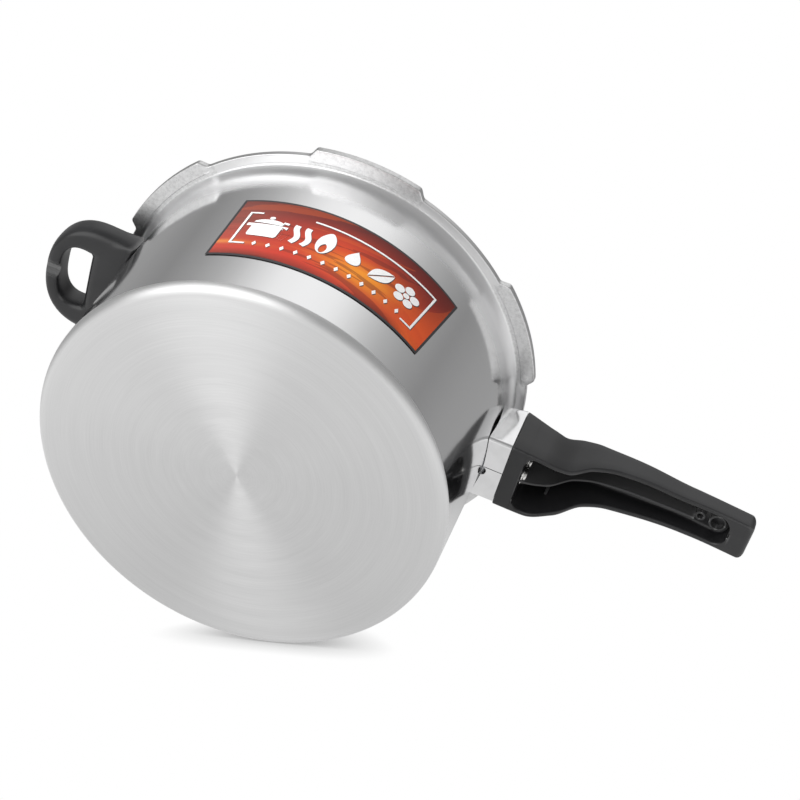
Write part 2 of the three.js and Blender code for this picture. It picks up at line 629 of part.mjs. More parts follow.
const handleRivets = [
  rivetAt(0, GUARD_MIDDLE + LOWER_RIVET_OFFSET),
  rivetAt(-UPPER_RIVET_SPREAD, GUARD_MIDDLE + UPPER_RIVET_OFFSET),
  rivetAt(UPPER_RIVET_SPREAD, GUARD_MIDDLE + UPPER_RIVET_OFFSET),
];
const helperRivets = [-HELPER_RIVET_SPREAD, HELPER_RIVET_SPREAD].map((y) => rivetAt(y, HELPER_MIDDLE));
const halfTurn = new THREE.Matrix4().makeRotationZ(Math.PI);
const helperRivetsOnPot = helperRivets.map(({ matrix }) => ({ matrix: halfTurn.clone().multiply(matrix) }));

place(model, 'pot_body', makePotBody([...handleRivets, ...helperRivetsOnPot]), POLISHED_ALUMINIUM);
place(model, 'product_label', makeLabel(), PRINTED_FOIL);

// Long handle: bracket, rivets, guard, grip and its two screws with nuts inside the bracket.
const bracketFront = GUARD_END - BRACKET_SETBACK;
const bracketBottom = GUARD_MIDDLE - BRACKET_HEIGHT / 2;
const bracketDepth = bracketFront - WALL_RADIUS - TOUCH;
place(model, 'handle_bracket', makeBracket(BRACKET_HALF_WIDTH, bracketDepth, bracketBottom,
  BRACKET_HEIGHT, handleRivets, SCREW_HEIGHTS), ZINC_STEEL);
handleRivets.forEach((rivet, i) => {
  place(model, `handle_rivet_${i + 1}`, makeRivet(rivet), POLISHED_ALUMINIUM);
});
place(model, 'flame_guard', makeFlameGuard(), BRIGHT_STEEL);
place(model, 'long_handle_grip', makeGrip(), BLACK_BAKELITE);
const nutStart = bracketFront - BRACKET_SHEET - TOUCH - NUT_THICKNESS;
SCREW_HEIGHTS.forEach((z, i) => {
  place(model, `handle_screw_${i + 1}`, makeScrew(CAVITY_START, nutStart - SCREW_TIP, z), BRIGHT_STEEL);
  place(model, `handle_washer_${i + 1}`, makeWasher(CAVITY_START, z), BRIGHT_STEEL);
  place(model, `handle_nut_${i + 1}`, makeNut(nutStart, z), ZINC_STEEL);
});

// Helper handle: bracket, rivets, grip and its screw from the finger opening.
const helper = makeHelperGrip(HELPER_MIDDLE);
const helperBracketFront = WALL_RADIUS + TOUCH + HELPER_BRACKET_DEPTH;
const helperBracketBottom = HELPER_MIDDLE - HELPER_BRACKET_HEIGHT / 2;
const helperNutStart = helperBracketFront - BRACKET_SHEET - TOUCH - NUT_THICKNESS;
place(helperSide, 'helper_bracket', makeBracket(HELPER_BRACKET_HALF_WIDTH, HELPER_BRACKET_DEPTH,
  helperBracketBottom, HELPER_BRACKET_HEIGHT, helperRivets, [HELPER_MIDDLE]), ZINC_STEEL);
helperRivets.forEach((rivet, i) => {
  place(helperSide, `helper_rivet_${i + 1}`, makeRivet(rivet), POLISHED_ALUMINIUM);
});
place(helperSide, 'helper_handle_grip', helper.geometry, BLACK_BAKELITE);
const helperScrew = makeScrew(helper.screwSeat, helperNutStart - SCREW_TIP, HELPER_MIDDLE);
place(helperSide, 'helper_screw', helperScrew, BRIGHT_STEEL);
place(helperSide, 'helper_washer', makeWasher(helper.screwSeat, HELPER_MIDDLE), BRIGHT_STEEL);
place(helperSide, 'helper_nut', makeNut(helperNutStart, HELPER_MIDDLE), ZINC_STEEL);

export default model;
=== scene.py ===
"""Looks of a stovetop pressure cooker body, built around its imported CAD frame.

Metres, in the CAD part's frame: the origin is under the base, +Z runs up the pot's axis,
+X along the long handle, -X to the helper handle, and the label faces -Y.
"""

from math import asin, atan2, copysign, cos, dist, exp, hypot, pi, radians, sin, sqrt
from math import degrees as in_degrees

import bmesh
import bpy
from mathutils import Matrix, Vector


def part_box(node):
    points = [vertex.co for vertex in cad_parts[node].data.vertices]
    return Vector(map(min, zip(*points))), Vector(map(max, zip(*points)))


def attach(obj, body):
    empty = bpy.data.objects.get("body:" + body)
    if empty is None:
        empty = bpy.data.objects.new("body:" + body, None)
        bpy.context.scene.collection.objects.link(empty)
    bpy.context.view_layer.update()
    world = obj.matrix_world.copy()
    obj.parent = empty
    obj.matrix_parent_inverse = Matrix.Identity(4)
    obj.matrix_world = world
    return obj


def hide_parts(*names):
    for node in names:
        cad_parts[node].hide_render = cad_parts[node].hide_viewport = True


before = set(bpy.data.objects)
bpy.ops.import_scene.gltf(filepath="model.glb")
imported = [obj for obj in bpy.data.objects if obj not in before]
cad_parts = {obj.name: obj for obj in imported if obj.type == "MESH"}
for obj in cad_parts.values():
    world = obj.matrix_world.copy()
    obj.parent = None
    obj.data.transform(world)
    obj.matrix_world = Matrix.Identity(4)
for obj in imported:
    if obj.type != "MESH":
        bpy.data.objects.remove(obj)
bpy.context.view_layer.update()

MM = 0.001
SHARP_ANGLE = 40                  # degrees; edges sharper than this stay crisp
ROUND_STEPS = 48

# ---- Places taken from the frame ----
pot_low, pot_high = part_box("pot_body")
guard_low, guard_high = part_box("flame_guard")
grip_low, grip_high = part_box("long_handle_grip")
helper_low, helper_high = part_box("helper_handle_grip")
label_low, label_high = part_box("product_label")

# ---- Pot ----
HEIGHT = pot_high.z
LUG_EDGE = pot_high.y
LUG_REACH = 5.2 * MM
FLANGE_EDGE = LUG_EDGE - LUG_REACH
WALL = FLANGE_EDGE - 10.5 * MM
INNER_WALL = WALL - 3.2 * MM
BASE_THICKNESS = 4.5 * MM
BASE_EDGE_RADIUS = 6 * MM
INNER_CORNER = 9 * MM
FLANGE_TOP = HEIGHT - 0.6 * MM
FLANGE_UNDERSIDE = FLANGE_TOP - 4.2 * MM
LUG_DROP = 0.8 * MM               # lugs are this much thicker than the flange
NECK_REACH = 4.2 * MM
NECK_HEIGHT = 11 * MM
RIM_ROUNDING = 0.7 * MM
LIP_RADIUS = 0.4 * MM
LUG_COUNT = 6
FIRST_LUG_ANGLE = 30
LUG_SPAN = 26.5
LUG_RAMP = 2.6


# ---- Small maths ----
def lerp(a, b, t):
    return a + (b - a) * t


def smooth(t):
    t = min(max(t, 0.0), 1.0)
    return t * t * (3 - 2 * t)


def evenly(start, end, count):
    return [lerp(start, end, i / count) for i in range(count + 1)]


def cos_sin(degrees):
    return cos(radians(degrees)), sin(radians(degrees))


def circle(steps=ROUND_STEPS):
    """(cosine, sine) at even steps once round."""
    return [cos_sin(degrees) for degrees in evenly(0, 360, steps)[:-1]]


def arc(centre, radius, start, end, steps):
    """Points on a circle in a plane, from one angle to another, in degrees."""
    turns = [cos_sin(degrees) for degrees in evenly(start, end, steps)]
    return [(centre[0] + radius * c, centre[1] + radius * s) for c, s in turns]


def along(points, x):
    """Smooth value at x through a few (x, value) points, without overshoot."""
    last = len(points) - 1
    if x <= points[0][0]:
        return points[0][1]
    if x >= points[last][0]:
        return points[last][1]

    def slope(i):
        return (points[i + 1][1] - points[i][1]) / (points[i + 1][0] - points[i][0])

    def tangent(i):
        if i == 0:
            return slope(0)
        if i == last:
            return slope(last - 1)
        before, after = slope(i - 1), slope(i)
        return 0 if before * after <= 0 else 2 * before * after / (before + after)

    i = next(k for k in range(last) if points[k + 1][0] > x)
    width = points[i + 1][0] - points[i][0]
    t = (x - points[i][0]) / width
    rise = t * (1 - t) * (1 - t) * tangent(i) - t * t * (1 - t) * tangent(i + 1)
    return lerp(points[i][1], points[i + 1][1], smooth(t)) + width * rise


# ---- Mesh building ----
def linked(name, data):
    """A new object in the scene."""
    made = bpy.data.objects.new(name, data)
    bpy.context.scene.collection.objects.link(made)
    return made


def mesh_object(name, points, faces, materials=(), face_materials=None):
    mesh = bpy.data.meshes.new(name)
    mesh.from_pydata([tuple(p) for p in points], [], faces)
    for material in materials:
        mesh.materials.append(material)
    if face_materials:
        mesh.polygons.foreach_set("material_index", face_materials)
    tidy_mesh(mesh, SHARP_ANGLE)
    return linked(name, mesh)


def shade(mesh, sharp_angle):
    """Smooth shading, broken at the sharp edges."""
    mesh.shade_smooth()
    mesh.set_sharp_from_angle(angle=radians(sharp_angle))


def tidy_mesh(mesh, sharp_angle):
    """Joins coincident points, turns every face outward and shades smoothly between sharp edges."""
    work = bmesh.new()
    work.from_mesh(mesh)
    bmesh.ops.remove_doubles(work, verts=work.verts, dist=1e-6)
    bmesh.ops.dissolve_degenerate(work, edges=work.edges, dist=1e-6)
    bmesh.ops.recalc_face_normals(work, faces=work.faces)
    work.to_mesh(mesh)
    work.free()
    shade(mesh, sharp_angle)


def skin(rings, closed_rings=True, closed_along=False, cap_ends=False):
    """Points and faces of a skin over rows of points that all have the same count."""
    count = len(rings[0])
    points = [p for ring in rings for p in ring]
    faces = []
    rows = len(rings) if closed_along else len(rings) - 1
    columns = count if closed_rings else count - 1
    for r in range(rows):
        nxt = (r + 1) % len(rings)
        for k in range(columns):
            after = (k + 1) % count
            faces.append((r * count + k, r * count + after, nxt * count + after, nxt * count + k))
    if cap_ends:
        faces.append(tuple(range(count)))
        faces.append(tuple((len(rings) - 1) * count + k for k in range(count)))
    return points, faces


def joined(parts):
    """One list of points and faces from several closed skins."""
    points, faces = [], []
    for part_points, part_faces in parts:
        start = len(points)
        points += part_points
        faces += [tuple(start + i for i in face) for face in part_faces]
    return points, faces


def lathe(profile, centre):
    """A skin turned about an axis along X: the profile is (distance along X, radius)."""
    rings = []
    for c, s in circle():
        rings.append([(centre.x + x, centre.y + r * c, centre.z + r * s) for x, r in profile])
    return skin(rings, closed_rings=False, closed_along=True)


def cut(piece, cutter):
    """Takes the cutter's shape out of the piece and removes the cutter."""
    modifier = piece.modifiers.new("cut", "BOOLEAN")
    modifier.operation = "DIFFERENCE"
    modifier.solver = "EXACT"
    modifier.object = cutter
    graph = bpy.context.evaluated_depsgraph_get()
    mesh = bpy.data.meshes.new_from_object(piece.evaluated_get(graph))
    piece.modifiers.clear()
    piece.data = mesh
    bpy.data.objects.remove(cutter)
    shade(mesh, SHARP_ANGLE)


# ---- Materials: small node-tree helpers ----
def new_material(name):
    material = bpy.data.materials.new(name)
    material.use_nodes = True
    tree = material.node_tree
    return material, tree, tree.nodes["Principled BSDF"]


def give(tree, node, inputs):
    """Gives each named input its value, or links it to another node's output."""
    for key, value in inputs.items():
        if isinstance(value, bpy.types.NodeSocket):
            tree.links.new(value, node.inputs[key])
        else:
            node.inputs[key].default_value = value


def add(tree, kind, inputs=None, **settings):
    """A new node with its settings and inputs."""
    made = tree.nodes.new(kind)
    for key, value in settings.items():
        setattr(made, key, value)
    give(tree, made, inputs or {})
    return made


def maths(tree, operation, *values):
    return add(tree, "ShaderNodeMath", dict(enumerate(values)), operation=operation).outputs[0]


def times(tree, a, b):
    return maths(tree, "MULTIPLY", a, b)


def linear(tree, value, factor, offset):
    return maths(tree, "MULTIPLY_ADD", value, factor, offset)


def ranged(tree, value, start, end, low, high, soft=False):
    """Carries a value between start and end to a value between low and high, and no further."""
    inputs = {"Value": value, "From Min": start, "From Max": end, "To Min": low, "To Max": high}
    kind = "SMOOTHSTEP" if soft else "LINEAR"
    return add(tree, "ShaderNodeMapRange", inputs, interpolation_type=kind).outputs[0]


def noise(tree, place, scale, detail, **more):
    inputs = {"Vector": place, "Scale": scale, "Detail": detail, **more}
    return add(tree, "ShaderNodeTexNoise", inputs).outputs["Fac"]


def axes(tree, vector):
    """The x, y and z of a vector."""
    return add(tree, "ShaderNodeSeparateXYZ", {0: vector}).outputs


def facing(tree, unit, direction):
    """The cosine of the angle between two directions."""
    made = add(tree, "ShaderNodeVectorMath", {0: unit, 1: direction}, operation="DOT_PRODUCT")
    return made.outputs["Value"]


def ramp(tree, factor, stops):
    made = add(tree, "ShaderNodeValToRGB", {"Fac": factor})
    elements = made.color_ramp.elements
    while len(elements) < len(stops):
        elements.new(0.5)
    for element, (position, colour) in zip(elements, stops):
        element.position = position
        element.color = (*colour, 1) if len(colour) == 3 else colour
    return made.outputs["Color"]


def grey(value):
    return (value, value, value)


def mixed(tree, factor, a, b, blend="MIX"):
    made = add(tree, "ShaderNodeMix", {0: factor, 6: a, 7: b}, data_type="RGBA", blend_type=blend)
    return made.outputs[2]


def object_place(tree):
    return add(tree, "ShaderNodeTexCoord").outputs["Object"]


def turned_marks(tree, across, x, y, radius, fineness, breakup=2.0):
    """Noise drawn out into fine rings about the pot's axis, with no seam."""
    along_x = times(tree, maths(tree, "DIVIDE", x, radius), breakup)
    along_y = times(tree, maths(tree, "DIVIDE", y, radius), breakup)
    row = times(tree, across, fineness)
    vector = add(tree, "ShaderNodeCombineXYZ", {0: row, 1: along_x, 2: along_y}).outputs[0]
    return noise(tree, vector, 1.0, 3.0, Roughness=0.6)


def bump(tree, height, strength, distance):
    made = add(tree, "ShaderNodeBump", {"Height": height, "Strength": strength, "Distance": distance})
    return made.outputs[0]


DULL_BAND = (HEIGHT - 36 * MM, HEIGHT - 20 * MM)
DULL_ROUGHNESS = 0.22


def spun_metal(name, colour, roughness, anisotropy, fineness, depth,
               across_height=False, streak=0.06, turn=0.0):
    """Metal finished on a lathe: fine marks run round the pot's axis."""
    material, tree, shader = new_material(name)
    place = object_place(tree)
    x, y, z = axes(tree, place)
    radius = maths(tree, "SQRT", maths(tree, "ADD", times(tree, x, x), times(tree, y, y)))
    across = z if across_height else radius
    fine = turned_marks(tree, across, x, y, radius, fineness)
    coarse = turned_marks(tree, across, x, y, radius, fineness / 9, 1.0)
    clouds = noise(tree, place, 18.0, 2.0)
    low = 1 - streak / 2
    tone = times(tree, linear(tree, fine, streak, low), linear(tree, coarse, streak, low))
    tint = add(tree, "ShaderNodeVectorMath", {0: colour, "Scale": tone}, operation="SCALE").outputs[0]
    spread = linear(tree, coarse, roughness * 0.25, roughness * 0.85)
    spread = maths(tree, "ADD", spread, times(tree, clouds, roughness * 0.08))
    if across_height:
        # The lathe leaves the band under the rim duller than the rest of the wall.
        spread = maths(tree, "ADD", spread, ranged(tree, z, *DULL_BAND, 0.0, DULL_ROUGHNESS, soft=True))
    tangent = add(tree, "ShaderNodeTangent", direction_type="RADIAL", axis="Z").outputs[0]
    give(tree, shader, {"Base Color": tint, "Metallic": 1, "Anisotropic": anisotropy,
                        "Anisotropic Rotation": turn, "Roughness": spread, "Tangent": tangent,
                        "Normal": bump(tree, fine, 1.0, depth)})
    return material


def cast_metal():
    """Rim and lugs as they come from the die: a little rough, with small pits and ripples."""
    material, tree, shader = new_material("forged_aluminium")
    place = object_place(tree)
    lumps = noise(tree, place, 420.0, 5.0, Roughness=0.7)
    grain = noise(tree, place, 1900.0, 2.0)
    tint = ramp(tree, lumps, [(0.3, grey(0.6)), (0.55, grey(0.76)), (0.75, grey(0.84))])
    height = linear(tree, grain, 0.15, lumps)
    give(tree, shader, {"Base Color": tint, "Metallic": 1, "Roughness": linear(tree, grain, 0.2, 0.22),
                        "Normal": bump(tree, height, 0.6, 0.12 * MM)})
    return material


def sheet_metal(name, colour, roughness, grain_scale, depth):
    """Polished or plated sheet and turned fasteners, with faint handling marks."""
    material, tree, shader = new_material(name)
    place = object_place(tree)
    smears = noise(tree, place, grain_scale, 4.0)
    fine = noise(tree, place, grain_scale * 14, 2.0)
    dark = tuple(c * 0.9 for c in colour)
    give(tree, shader, {"Base Color": ramp(tree, smears, [(0.3, dark), (0.6, colour)]), "Metallic": 1,
                        "Roughness": linear(tree, smears, roughness * 0.6, roughness * 0.7),
                        "Normal": bump(tree, fine, 0.5, depth)})
    return material


def moulded_plastic(name, colour, roughness):
    """Black phenolic: a satin moulded skin with a faint flow pattern."""
    material, tree, shader = new_material(name)
    place = object_place(tree)
    flow = noise(tree, place, 45.0, 3.0, Distortion=0.6)
    fine = noise(tree, place, 2600.0, 2.0)
    light = tuple(c * 1.25 for c in colour)
    tint = ramp(tree, flow, [(0.35, colour), (0.7, light)])
    # Painted highlight: the base colour is lightened along sharp convex edges, standing in for the light that
    # glossy moulded edges catch.
    edges = add(tree, "ShaderNodeNewGeometry").outputs["Pointiness"]
    edge_highlight = ranged(tree, edges, 0.52, 0.60, 0.0, 1.0)
    give(tree, shader, {"Base Color": mixed(tree, edge_highlight, tint, (*grey(0.13), 1)),
                        "Roughness": linear(tree, flow, 0.1, roughness - 0.05),
                        "Normal": bump(tree, fine, 0.35, 0.05 * MM)})
    return material


WALL_METAL = spun_metal("polished_wall", (0.87, 0.87, 0.875), 0.11, 0.3, 2600, 0.0004 * MM, True, 0.02)
BASE_METAL = spun_metal("turned_base", grey(0.80), 0.40, 0.85, 1500, 0.004 * MM, streak=0.13, turn=0.25)
INNER_METAL = spun_metal("satin_inside", grey(0.78), 0.34, 0.6, 1500, 0.003 * MM, True)
RIM_METAL = cast_metal()
FLANGE_METAL = spun_metal("turned_flange", grey(0.78), 0.3, 0.4, 1100, 0.004 * MM)
GUARD_METAL = sheet_metal("bright_sheet", (0.9, 0.9, 0.905), 0.12, 60.0, 0.002 * MM)
PLATED_METAL = sheet_metal("zinc_plate", (0.62, 0.63, 0.65), 0.38, 120.0, 0.02 * MM)
SCREW_METAL = sheet_metal("nickel_plate", (0.85, 0.84, 0.82), 0.2, 300.0, 0.004 * MM)
RIVET_METAL = sheet_metal("plain_aluminium", grey(0.8), 0.32, 200.0, 0.01 * MM)
BLACK_PLASTIC = moulded_plastic("black_phenolic", (0.015, 0.015, 0.016), 0.30)


# ---- Pot ----
def lug_share(degrees):
    """1 on a lug, 0 between lugs, with a short ramp at each end."""
    pitch = 360 / LUG_COUNT
    from_centre = abs((degrees - FIRST_LUG_ANGLE + pitch / 2) % pitch - pitch / 2)
    return smooth((LUG_SPAN / 2 + LUG_RAMP - from_centre) / LUG_RAMP)


def pot_columns():
    """Angles round the pot, closer together at the lugs' ends."""
    half, foot = LUG_SPAN / 2, LUG_SPAN / 2 + LUG_RAMP
    pitch = 360 / LUG_COUNT
    angles = []
    for i in range(LUG_COUNT):
        centre = FIRST_LUG_ANGLE + i * pitch
        angles += evenly(centre - foot, centre - half, 8)[:-1]
        angles += evenly(centre - half, centre + half, 20)[:-1]
        angles += evenly(centre + half, centre + foot, 8)[:-1]
        angles += evenly(centre + foot, centre + pitch - foot, 20)[:-1]
    return angles


def pot_profile(degrees):
    """(radius, height, material) from the middle of the base, over the rim, to the middle inside."""
    share = lug_share(degrees)
    edge = FLANGE_EDGE + share * LUG_REACH
    low = FLANGE_UNDERSIDE - share * LUG_DROP
    rounding = RIM_ROUNDING
    neck = WALL + NECK_REACH
    base, wall, inside = 0, 1, 3
    rim = 2 if share > 0 else 4
    flat = WALL - BASE_EDGE_RADIUS
    corner = (INNER_WALL - INNER_CORNER, BASE_THICKNESS + INNER_CORNER)
    lip = (INNER_WALL + LIP_RADIUS, HEIGHT - LIP_RADIUS)
    neck_foot = FLANGE_UNDERSIDE - NECK_HEIGHT
    points = []

    def level(start, end, count, z, kind):
        points.extend((r, z, kind) for r in evenly(start, end, count))

    def upright(r, start, end, count, kind):
        points.extend((r, z, kind) for z in evenly(start, end, count))

    def rounded(centre, radius, start, end, steps, kind):
        points.extend((r, z, kind) for r, z in arc(centre, radius, start, end, steps))

    level(0, flat, 14, 0, base)
    rounded((flat, BASE_EDGE_RADIUS), BASE_EDGE_RADIUS, -84, 0, 12, base)
    upright(WALL, BASE_EDGE_RADIUS + 1 * MM, neck_foot - 1 * MM, 20, wall)
    points += [(WALL + NECK_REACH * t * t, neck_foot + NECK_HEIGHT * t, wall) for t in evenly(0, 0.97, 14)]
    level(neck + 0.3 * MM, FLANGE_EDGE - 4 * MM, 4, FLANGE_UNDERSIDE, rim)
    level(FLANGE_EDGE - 3.2 * MM, edge - rounding, 6, low, rim)
    rounded((edge - rounding, low + rounding), rounding, -75, 0, 5, rim)
    upright(edge, low + 1 * MM, FLANGE_TOP - 1 * MM, 3, rim)
    rounded((edge - rounding, FLANGE_TOP - rounding), rounding, 0, 90, 5, rim)
    level(FLANGE_EDGE - 2 * MM, WALL + 0.6 * MM, 6, FLANGE_TOP, rim)
    points += [(WALL, FLANGE_TOP + 0.15 * MM, rim), (WALL - 0.3 * MM, HEIGHT - 0.1 * MM, rim)]
    level(WALL - 0.6 * MM, INNER_WALL + 0.5 * MM, 3, HEIGHT, inside)
    rounded(lip, LIP_RADIUS, 110, 180, 3, inside)
    upright(INNER_WALL, HEIGHT - 1 * MM, corner[1] + 1 * MM, 16, inside)
    rounded(corner, INNER_CORNER, 0, -90, 10, inside)
    level(corner[0] - 2 * MM, 0, 12, BASE_THICKNESS, inside)
    return points


def make_pot():
    rings, kinds = [], []
    for degrees in pot_columns():
        c, s = cos_sin(degrees)
        profile = pot_profile(degrees)
        rings.append([(r * c, r * s, z) for r, z, _ in profile])
        kinds += [kind for _, _, kind in profile[1:]]
    points, faces = skin(rings, closed_rings=False, closed_along=True)
    metals = [BASE_METAL, WALL_METAL, RIM_METAL, INNER_METAL, FLANGE_METAL]
    piece = mesh_object("pot", points, faces, metals, kinds)
    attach(piece, "root")
    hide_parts("pot_body")


make_pot()

# ---- Label ----
LABEL_GAP = 0.3 * MM
LABEL_THICKNESS = 0.3 * MM
LABEL_LEFT = -117
LABEL_RIGHT_TOP = -50.5
LABEL_RIGHT_BOTTOM = -54.7
LABEL_BORDER = 1.7 * MM
PRINT_STEP = 1.5                  # mm between the bends of a printed shape
PRINT_SHARP_ANGLE = 35


def label_point(across, up, height=0.0):
    """A point on the label: across 0..1 from the helper side, up 0..1, height above its face."""
    right = lerp(LABEL_RIGHT_BOTTOM, LABEL_RIGHT_TOP, up)
    angle = radians(lerp(LABEL_LEFT, right, across))
    radius = WALL + LABEL_GAP + LABEL_THICKNESS + height
    return (radius * cos(angle), radius * sin(angle), lerp(label_low.z, label_high.z, up))


LABEL_WIDTH = radians(LABEL_RIGHT_TOP - LABEL_LEFT) * WALL
LABEL_TALL = label_high.z - label_low.z


def spot(tree, u, v, centre, reach, strength):
    """A soft oval patch of the given strength round a place on the label."""
    across = maths(tree, "DIVIDE", maths(tree, "SUBTRACT", u, centre[0]), reach[0])
    above = maths(tree, "DIVIDE", maths(tree, "SUBTRACT", v, centre[1]), reach[1])
    far = maths(tree, "ADD", times(tree, across, across), times(tree, above, above))
    return times(tree, maths(tree, "EXPONENT", times(tree, far, -1.0)), strength)


FOIL_GROUND = [(0.0, (0.22, 0.03, 0.02)), (0.12, (0.60, 0.055, 0.03)), (0.3, (0.55, 0.05, 0.025)),
               (0.55, (0.34, 0.035, 0.025)), (0.8, (0.17, 0.02, 0.018)), (1.0, (0.10, 0.015, 0.013))]
# Each glow: its place, its reach, its strength, whether it follows the streaks, and its colour.
FOIL_GLOWS = [((0.55, 0.52), (0.24, 0.26), 0.7, False, (0.80, 0.09, 0.015)),
              ((0.61, 0.33), (0.16, 0.12), 1.0, True, (1.0, 0.50, 0.03)),
              ((0.0, 0.235), (0.16, 0.035), 0.9, False, (0.95, 0.42, 0.07)),
              ((0.98, 0.26), (0.16, 0.09), 0.7, True, (0.95, 0.20, 0.03))]


def label_foil():
    """Printed foil: dark red above, a fiery glow low in the middle, streaks that sweep to the right."""
    material, tree, shader = new_material("printed_foil")
    place = add(tree, "ShaderNodeUVMap", uv_map="print").outputs[0]
    u, v, _ = axes(tree, place)
    # Streaks run almost level, sweep up to the right above the middle and down below it.
    rise = times(tree, maths(tree, "POWER", u, 2.5), linear(tree, v, 0.9, -0.3))
    bent = maths(tree, "SUBTRACT", v, rise)
    sweep = add(tree, "ShaderNodeCombineXYZ", {0: times(tree, u, 1.4), 1: times(tree, bent, 9.0)}).outputs[0]
    streaks = noise(tree, sweep, 1.0, 3.0, Distortion=0.5)
    level = maths(tree, "ADD", v, linear(tree, noise(tree, place, 2.6, 1.0), 0.24, -0.12))
    body = ramp(tree, level, FOIL_GROUND)
    flicker = linear(tree, streaks, 1.6, 0.1)
    for centre, reach, strength, streaky, colour in FOIL_GLOWS:
        share = spot(tree, u, bent if streaky else v, centre, reach, strength)
        if streaky:
            share = times(tree, share, flicker)
        body = mixed(tree, share, body, (*colour, 1))
    bright = times(tree, maths(tree, "GREATER_THAN", streaks, 0.6), 0.22)
    body = mixed(tree, bright, body, (0.9, 0.2, 0.03, 1))
    dark = times(tree, maths(tree, "LESS_THAN", streaks, 0.42), 0.45)
    body = mixed(tree, dark, body, (0.09, 0.012, 0.01, 1))
    body = mixed(tree, spot(tree, u, v, (0.0, 0.6), (0.22, 0.6), 0.5), body, (0.30, 0.16, 0.14, 1))
    body = mixed(tree, 1.0, body, (0.85, 0.62, 0.55, 1), "MULTIPLY")
    ripple = noise(tree, place, 9.0, 2.0)
    give(tree, shader, {"Base Color": body, "Roughness": 0.35, "Specular IOR Level": 0.25,
                        "Normal": bump(tree, ripple, 0.3, 0.05 * MM)})
    return material


def ink(name, colour):
    """Printing ink with a slightly uneven lay-down."""
    material, tree, shader = new_material(name)
    lay = noise(tree, object_place(tree), 900.0, 3.0)
    thin = tuple(c * 0.93 for c in colour)
    give(tree, shader, {"Base Color": ramp(tree, lay, [(0.3, thin), (0.6, colour)]), "Roughness": 0.4})
    return material


FOIL = label_foil()
BLACK_INK = ink("black_ink", (0.03, 0.028, 0.03))
WHITE_INK = ink("white_ink", (0.9, 0.9, 0.9))


def make_label():
    columns, rows = 72, 36
    side = LABEL_BORDER / LABEL_WIDTH
    edge = LABEL_BORDER / LABEL_TALL
    us = [0, side] + evenly(side, 1 - side, columns)[1:-1] + [1 - side, 1]
    vs = [0, edge] + evenly(edge, 1 - edge, rows)[1:-1] + [1 - edge, 1]
    front = [[label_point(u, v) for v in vs] for u in us]
    back = [[label_point(u, v, -LABEL_THICKNESS) for v in vs] for u in us]
    points = [p for row in front + back for p in row]
    count = len(vs)
    sheet = len(us) * count
    faces, kinds = [], []
    for i in range(len(us) - 1):
        for j in range(count - 1):
            a = i * count + j
            faces.append((a, a + count, a + count + 1, a + 1))
            kinds.append(1 if i in (0, len(us) - 2) or j in (0, count - 2) else 0)
            faces.append((sheet + a, sheet + a + 1, sheet + a + count + 1, sheet + a + count))
            kinds.append(1)
    rim = [i * count for i in range(len(us))]
    rim += [(len(us) - 1) * count + j for j in range(1, count)]
    rim += [i * count + count - 1 for i in reversed(range(len(us) - 1))]
    rim += [j for j in reversed(range(1, count - 1))]
    for k, a in enumerate(rim):
        b = rim[(k + 1) % len(rim)]
        faces.append((a, b, b + sheet, a + sheet))
        kinds.append(1)
    piece = mesh_object("label", points, faces, [FOIL, BLACK_INK], kinds)
    give_label_print(piece)
    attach(piece, "root")
    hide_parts("product_label")


def give_label_print(piece):
    """UVs named print: 0..1 across and up the label."""
    layer = piece.data.uv_layers.new(name="print")
    for loop in piece.data.loops:
        x, y, z = piece.data.vertices[loop.vertex_index].co
        up = (z - label_low.z) / LABEL_TALL
        right = lerp(LABEL_RIGHT_BOTTOM, LABEL_RIGHT_TOP, up)
        across = (in_degrees(atan2(y, x)) - LABEL_LEFT) / (right - LABEL_LEFT)
        layer.data[loop.index].uv = (across, up)


make_label()


def printed(name, loops, material, height):
    """Flat printed shapes bent onto the label. Loop points are (across, up) in millimetres
    from the label's lower corner on the helper side."""
    curve = bpy.data.curves.new(name, "CURVE")
    curve.dimensions = "2D"
    curve.fill_mode = "BOTH"
    curve.extrude = 0.02
    for loop in loops:
        spline = curve.splines.new("POLY")
        spline.points.add(len(loop) - 1)
        for point, (a, b) in zip(spline.points, loop):
            point.co = (a, b, 0, 1)
        spline.use_cyclic_u = True
    flat = linked(name, curve)
    mesh = bpy.data.meshes.new_from_object(flat)
    bpy.data.objects.remove(flat)
    work = bmesh.new()
    work.from_mesh(mesh)
    bmesh.ops.remove_doubles(work, verts=work.verts, dist=1e-4)
    step = PRINT_STEP
    for k in range(1, int(LABEL_WIDTH / MM / step)):
        bmesh.ops.bisect_plane(work, geom=work.verts[:] + work.edges[:] + work.faces[:], dist=1e-5,
                               plane_co=(k * step, 0, 0), plane_no=(1, 0, 0))
    for vert in work.verts:
        across, up = vert.co.x * MM / LABEL_WIDTH, vert.co.y * MM / LABEL_TALL
        top = height if vert.co.z > 0 else 0.0
        vert.co = label_point(across, up, top)
    work.to_mesh(mesh)
    work.free()
    mesh.materials.clear()
    mesh.materials.append(material)
    piece = linked(name, mesh)
    tidy_mesh(mesh, PRINT_SHARP_ANGLE)
    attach(piece, "root")


# ---- Label artwork: a broken frame, six kitchen pictograms and a row of lozenges ----
FRAME_WIDTH = 1.5                 # millimetres on the label, as SHADE_SHIFT is
SHADE_SHIFT = (0.55, -0.55)
SIGN_SCALE = 1.12
# The broken frame's two bars, in shares of the label's width and height.
FRAME_BARS = [[(0.12, 0.76), (0.068, 0.76), (0.068, 0.22), (0.13, 0.22)],
              [(0.335, 0.785), (0.908, 0.79), (0.908, 0.19), (0.85, 0.19)]]


